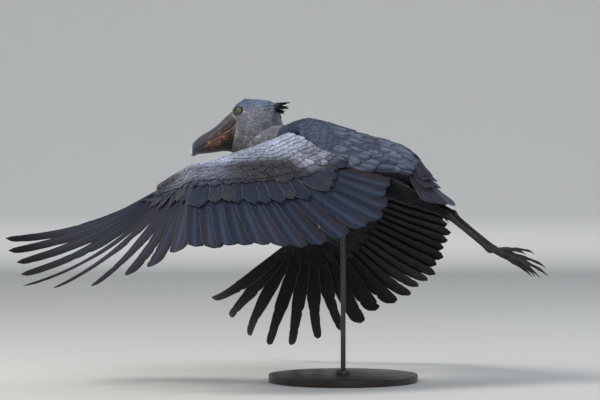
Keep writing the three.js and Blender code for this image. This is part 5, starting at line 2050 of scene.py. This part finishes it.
@dataclass
class Plumage:
    """The small feathers of one region of the skin, set by a node tree and made real."""

    region: Region
    skin: bpy.types.Object
    seed: int = 5

    def prototype(self, lift: float, bend: float, rng: np.random.Generator) -> bpy.types.Object:
        """One feather to repeat: it lies along +Y from its root and bends down to the body."""
        _, _, long, wide = self.region.value
        vane = Vane(Form.SOFT, long, wide, 6, 5, 0.5, 0.22, wide * 0.10, 1, 0.0)
        along, across, high, share = vane.grid(rng)
        length = along.ravel() * long
        rise = length * lift - bend * (length / long) ** 2 * long
        base = np.stack([across.ravel(), length - 1.5, rise], -1)
        into = Sculpture()
        up = np.broadcast_to(np.array([0.0, 0, 1]), base.shape)

        def plain(points: Array, down: Array, over: Array, upper: Array, tint: float) -> Array:
            """White, because the skin's colours are multiplied in."""
            return np.ones(points.shape)

        close_vane(into, base, up, high.ravel() * 0.4, along, share, vane, np.array([0.5, 0.5]), plain, rng)
        made = into.piece(f"feather_{self.region.name.lower()}", bpy.data.materials.new("unused"))
        made.data.color_attributes.remove(made.data.color_attributes["Coat"])
        made.data.uv_layers.remove(made.data.uv_layers["OFBake"])
        return made

    def tree(self, material: bpy.types.Material) -> tuple[bpy.types.NodeTree, dict[str, str]]:
        """The node tree, and its inputs' identifiers by name.

        Args:
            material: What the feathers are made of.

        Returns:
            The tree and the identifiers.
        """
        tree = bpy.data.node_groups.new("plumage_" + self.region.name.lower(), "GeometryNodeTree")
        face = tree.interface
        names = {
            "Feather": "NodeSocketObject", "Region": "NodeSocketFloat", "Spacing": "NodeSocketFloat",
            "Unevenness": "NodeSocketFloat", "Seed": "NodeSocketInt"
        }
        face.new_socket("Skin", in_out="INPUT", socket_type="NodeSocketGeometry")
        found = {
            name: face.new_socket(name, in_out="INPUT", socket_type=kind).identifier for name,
            kind in names.items()
        }
        face.new_socket("Feathers", in_out="OUTPUT", socket_type="NodeSocketGeometry")
        inputs = wire(tree, "NodeGroupInput").outputs
        region = wire(
            tree, "GeometryNodeInputNamedAttribute", {"Name": "Region"}, data_type="FLOAT"
        ).outputs[0]
        off = wire(
            tree, "ShaderNodeMath", {0: region, 1: inputs["Region"], 2: 0.3}, operation="COMPARE"
        ).outputs[0]
        spread = wire(
            tree, "GeometryNodeDistributePointsOnFaces",
            {
                "Mesh": inputs["Skin"], "Selection": off, "Distance Min": inputs["Spacing"],
                "Density Max": 90000.0, "Seed": inputs["Seed"]
            },
            distribute_method="POISSON"
        )
        lie = wire(
            tree, "GeometryNodeInputNamedAttribute", {"Name": "Lie"}, data_type="FLOAT_VECTOR"
        ).outputs[0]
        stray = wire(
            tree, "FunctionNodeRandomValue",
            {"Min": (-0.14, -0.14, -0.14), "Max": (0.14, 0.14, 0.14), "Seed": inputs["Seed"]},
            data_type="FLOAT_VECTOR"
        ).outputs[0]
        way = wire(tree, "ShaderNodeVectorMath", {0: lie, 1: stray}, operation="ADD").outputs[0]
        turned = wire(
            tree, "FunctionNodeAlignRotationToVector",
            {"Rotation": spread.outputs["Rotation"], "Vector": way}, axis="Y", pivot_axis="Z"
        ).outputs[0]
        low = wire(
            tree, "ShaderNodeMath", {0: 1.0, 1: inputs["Unevenness"]}, operation="SUBTRACT"
        ).outputs[0]
        high = wire(tree, "ShaderNodeMath", {0: 1.0, 1: inputs["Unevenness"]}, operation="ADD").outputs[0]
        size = wire(
            tree, "FunctionNodeRandomValue", {2: low, 3: high, "Seed": inputs["Seed"]}, data_type="FLOAT"
        ).outputs[1]
        feather = wire(
            tree, "GeometryNodeObjectInfo", {"Object": inputs["Feather"], "As Instance": True}
        ).outputs["Geometry"]
        placed = wire(
            tree, "GeometryNodeInstanceOnPoints",
            {"Points": spread.outputs["Points"], "Instance": feather, "Rotation": turned, "Scale": size}
        ).outputs[0]
        tinted = wire(
            tree, "FunctionNodeRandomValue", {2: -1.0, 3: 1.0, "Seed": 7}, data_type="FLOAT"
        ).outputs[1]
        kept = wire(
            tree, "GeometryNodeStoreNamedAttribute", {"Geometry": placed, "Name": "Tint", "Value": tinted},
            data_type="FLOAT", domain="INSTANCE"
        ).outputs[0]
        real = wire(tree, "GeometryNodeRealizeInstances", {"Geometry": kept}).outputs[0]
        made = wire(tree, "GeometryNodeSetMaterial", {"Geometry": real, "Material": material}).outputs[0]
        wire(tree, "NodeGroupOutput", {0: made})
        return tree, found

    def build(self) -> bpy.types.Object:
        """Grows the region's feathers and gives each its own patch of the unwrap."""
        rng = np.random.default_rng(self.seed)
        number, spacing, _, _ = self.region.value
        feather = self.prototype(0.17 if self.region is Region.FACE else 0.3, 0.16, rng)
        material = FeatherFinish(
            "small_feathers_" + self.region.name.lower(), barbs=0.2, warmth=0.1, roughness=0.72, sheen=0.2
        ).build()
        tree, names = self.tree(material)
        name = "plumage_" + self.region.name.lower()
        made = bpy.data.objects.new(name, self.skin.data.copy())
        bpy.context.scene.collection.objects.link(made)
        grow = made.modifiers.new("plumage", "NODES")
        grow.node_group = tree
        for key, value in (
            ("Feather", feather), ("Region", float(number)), ("Spacing", spacing * MM),
            ("Unevenness", 0.16), ("Seed", self.seed)
        ):
            grow[names[key]] = value
        mesh = bpy.data.meshes.new_from_object(made.evaluated_get(bpy.context.evaluated_depsgraph_get()))
        made.modifiers.clear()
        made.data = mesh
        bpy.data.objects.remove(feather)
        self.settle(mesh)
        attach(made, "root")
        return made

    def settle(self, mesh: bpy.types.Mesh) -> None:
        """Tints each feather and writes its bake map from its root's place."""
        count = len(mesh.vertices)
        tint, root = np.empty(count, np.float32), np.empty(count * 3, np.float32)
        mesh.attributes["Tint"].data.foreach_get("value", tint)
        mesh.attributes["Root"].data.foreach_get("vector", root)
        colour = np.empty(count * 4, np.float32)
        mesh.attributes["Coat"].data.foreach_get("color", colour)
        colour = colour.reshape(-1, 4)
        colour[:, :3] *= (1 + 0.22 * tint)[:, None]
        mesh.attributes["Coat"].data.foreach_set("color", np.clip(colour, 0, 1).ravel())
        loops = loop_corners(mesh)
        vane = np.empty(len(loops) * 2, np.float32)
        mesh.uv_layers["Vane"].uv.foreach_get("vector", vane)
        if "OFBake" in mesh.attributes:
            mesh.attributes.remove(mesh.attributes["OFBake"])
        mesh.uv_layers.new(name="OFBake")
        patch = root.reshape(-1, 3)[loops, :2] + (vane.reshape(-1, 2) - 0.5) * BAKE_PATCH
        mesh.uv_layers["OFBake"].uv.foreach_set("vector", patch.astype(np.float32).ravel())


@dataclass
class Crest:
    """The ragged crest at the nape: lax plumes in three tiers, the upper ones longest."""

    seed: int = 23

    def build(self) -> bpy.types.Object:
        """Makes the crest."""
        rng = np.random.default_rng(self.seed)
        into = Sculpture()

        def coat(points: Array, along: Array, across: Array, upper: Array, tint: float) -> Array:
            """Brown-grey at the root, dark at the tip."""
            base = toward(
                np.broadcast_to(linear("67686f"), points.shape), linear("161518"), smooth(0.25, 0.7, along)
            )
            return base * (1 + 0.15 * tint)

        for tier in range(3):
            for k in range(9):
                across_by = k - 4.0
                rise = math.radians(6 - 5 * tier + rng.uniform(-4, 4))
                turn = math.radians(across_by * 4.5 + rng.uniform(-5, 5))
                long = (76 - 19 * tier) * (1 - 0.06 * abs(across_by)) * rng.uniform(0.75, 1.0)
                along_way = unit(
                    HEAD.place(-math.cos(rise) * math.cos(turn), math.sin(turn), math.sin(rise))
                    - HEAD.place(0, 0, 0)
                )
                out = unit(np.cross(along_way, [0, 0, 1.0]))
                up = np.cross(out, along_way)
                up = up if up[2] > 0 else -up
                roll = math.radians(rng.uniform(-75, 75))
                ahead, aside = math.cos(roll), math.sin(roll)
                out, up = out * ahead + up * aside, up * ahead - out * aside
                root = HEAD.place(
                    -50 - 5 * tier + 2 * abs(across_by), across_by * (4.2 + 1.2 * tier),
                    58 - 8 * tier - abs(across_by) * 2.6
                )
                vane = Vane(Form.LANCE, long, rng.uniform(9, 13), 14, 5, 0.5, 0.3, 0.8, 2, 0.05)
                along, across, high, share = vane.grid(rng)
                length = along.ravel() * long
                droop = (length / long) ** 2 * long * (0.1 + 0.05 * tier)
                sway = rng.uniform(-0.12, 0.12) * length**2 / long
                base = (
                    root + along_way * column(length) + out * column(across.ravel() + sway)
                    - np.array([0, 0, 1.0]) * column(droop)
                )
                bake = np.array([0.2 + 0.07 * k, 0.2 + 0.15 * tier])
                close_vane(
                    into, base, np.broadcast_to(up, base.shape), high.ravel(), along, share, vane, bake,
                    coat, rng
                )
        made = into.piece("crest_plumes", FeatherFinish("crest_web", warmth=0.2, barbs=0.15).build())
        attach(made, "root")
        return made


@dataclass
class Stand:
    """The display stand: a round hardwood base with a soft edge, a steel collar and one rod."""

    radius: float = 240
    thick: float = 24
    bevel: float = 3
    rod: float = 8
    collar: float = 24
    collar_high: float = 12
    top: float = 676
    sides: int = 128

    def turned(
        self, name: str, profile_: list[tuple[float, float]], material: bpy.types.Material
    ) -> bpy.types.Object:
        """A form turned about the upright axis from its outline of radius and height."""
        angle = np.arange(self.sides) * 2 * np.pi / self.sides
        spin = np.stack([np.cos(angle), np.sin(angle)], -1)
        rings = np.array([[[r * c, r * s, z] for c, s in spin] for r, z in profile_])
        points, faces = loft(rings)
        made = mesh_object(name, points * MM, faces)
        sharpen(made, 40)
        made.data.materials.append(material)
        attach(made, "root")
        return made

    def build(self) -> list[bpy.types.Object]:
        """Makes the base and the rod."""
        edge = [
            (
                self.radius - self.bevel + self.bevel * math.sin(a),
                self.thick - self.bevel + self.bevel * math.cos(a)
            )
            for a in np.linspace(np.pi / 2, 0, 7)
        ]
        outline = [
            (self.radius - 1.2, 0.0), (self.radius, 1.2), *edge, (60.0, self.thick),
            (self.collar + 3, self.thick)
        ]
        base = self.turned("base", outline, WoodFinish("dark_hardwood").build())
        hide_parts("stand_base")
        low = self.thick + 0.35
        high = low + self.collar_high
        collar = [
            (self.collar, low), (self.collar, high - 2), (self.collar - 0.8, high - 0.6),
            (self.collar - 2.2, high)
        ]
        rod = [*collar, (self.rod + 1.5, high), (self.rod, high + 1.5), (self.rod, self.top)]
        post = self.turned("rod", rod, SteelFinish("brushed_steel").build())
        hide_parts("stand_rod")
        return [base, post]


def sharpen(made: bpy.types.Object, degrees: float) -> None:
    """Keeps the edges sharp where faces meet at more than an angle."""
    made.data.set_sharp_from_angle(angle=math.radians(degrees))


@dataclass
class Studio:
    """A pale sweep, soft lights and the camera at the photograph's viewing angle."""

    azimuth: float = 28.0
    elevation: float = 1.5
    distance: float = 10000.0
    lens: float = 186.0
    shoulder_at: tuple[float, float] = (306.0, 140.0)
    scale: float = 0.31
    paper: str = "d9d9d6"
    reach: float = 17.0
    bend: float = 14.0
    wall: float = 18.0
    key: float = 215.0
    fill: float = 50.0
    rim: float = 90.0
    wash: float = 1300.0
    sky: float = 0.46

    def frame_of(self) -> tuple[Array, Array, Array]:
        """Right, forward and up of the view."""
        a, e = math.radians(self.azimuth), math.radians(self.elevation)
        right = np.array([math.cos(a), math.sin(a), 0])
        ahead = np.array([-math.sin(a) * math.cos(e), math.cos(a) * math.cos(e), -math.sin(e)])
        return right, ahead, np.cross(right, ahead)

    def camera(self) -> None:
        """Places the camera so that the shoulders fall where the photograph has them in its 600 by 400."""
        right, ahead, up = self.frame_of()
        target = (
            SHOULDER + right * ((300 - self.shoulder_at[0]) / self.scale)
            - up * ((200 - self.shoulder_at[1]) / self.scale)
        )
        data = bpy.data.cameras.new("camera")
        data.lens, data.sensor_width = self.lens, 36.0
        data.clip_start, data.clip_end = 0.1, 100.0
        made = bpy.data.objects.new("camera", data)
        bpy.context.scene.collection.objects.link(made)
        made.location = Vector((target - ahead * self.distance) * MM)
        made.rotation_mode = "QUATERNION"
        made.rotation_quaternion = Vector(ahead).to_track_quat("-Z", "Y")
        bpy.context.scene.camera = made

    def light(
        self, name: str, at: tuple[float, ...], size: float, power: float, colour: str = "ffffff",
        aim: tuple[float, ...] = (0, 0, 0.6)
    ) -> None:
        """Adds a square soft light that looks at the bird, or at another aim."""
        data = bpy.data.lights.new(name, "AREA")
        data.size, data.energy, data.color = size, power, tuple(linear(colour))
        made = bpy.data.objects.new(name, data)
        bpy.context.scene.collection.objects.link(made)
        made.location = Vector(at)
        made.rotation_mode = "QUATERNION"
        made.rotation_quaternion = (Vector(aim) - Vector(at)).to_track_quat("-Z", "Y")

    def build(self) -> None:
        """Makes the floor, the sweep behind it, the lights and the camera."""
        reach, radius = self.reach, self.bend
        turn = [
            (reach + radius * math.sin(a), radius - radius * math.cos(a))
            for a in np.linspace(0, np.pi / 2, 40)
        ]
        outline = np.array([(0.01, 0.0), (1.0, 0.0), (8.0, 0.0), *turn, (reach + radius, self.wall)])
        angle = np.arange(96) * 2 * np.pi / 96
        rows = [
            np.stack([r * np.cos(angle), r * np.sin(angle), np.full(96, z - 0.0005)], -1) for r,
            z in outline
        ]
        points, faces = loft(np.array(rows), closed_ends=False)
        sweep = mesh_object("sweep", points, faces)
        sweep.data.materials.append(StudioFinish("studio_paper", self.paper).build())
        self.light("key", (-2.6, -3.2, 4.6), 1.6, self.key, "fff8ee")
        self.light("fill", (4.5, -5.0, 2.2), 3.0, self.fill, "e6eeff")
        self.light("back", (3.2, 3.6, 3.6), 2.0, self.rim, "eef4ff")
        for a in np.radians(self.azimuth + 90 + np.arange(4) * 90):
            way = np.array([math.cos(a), math.sin(a), 0.0])
            self.light(
                "wash", tuple(way * 6 + np.array([0, 0, 9.0])), 6.0, self.wash,
                aim=tuple(way * 26 + np.array([0, 0, 11.0]))
            )
        world = bpy.data.worlds.new("room")
        world.use_nodes = True
        world.node_tree.nodes["Background"].inputs[0].default_value = full("dfe6f0")
        world.node_tree.nodes["Background"].inputs[1].default_value = self.sky
        bpy.context.scene.world = world
        bpy.context.scene.view_settings.view_transform = "Standard"
        self.camera()


def main() -> None:
    """Builds the scene piece by piece, in the order that each needs the last."""
    Studio().build()
    wings = {side: Wing(side) for side in Side}
    skin = Skin(wings)
    grown = skin.build()
    log.info("skin: %d corners", len(grown.data.vertices))
    made = [
        *Bill().build(), Legs().claws(), *Mantle().build(), Tail().build(), Crest().build(),
        *Stand().build()
    ]
    for side in Side:
        made += Eye(side).build()
        made += wings[side].build()
    for region in (Region.FACE, Region.HEAD, Region.NECK, Region.THIGH):
        made.append(Plumage(region, grown).build())
    for piece in made:
        log.info("%s: %d faces", piece.name, len(piece.data.polygons))


if __name__ == "__main__":
    logging.basicConfig(level=logging.INFO, format="%(message)s")
    main()
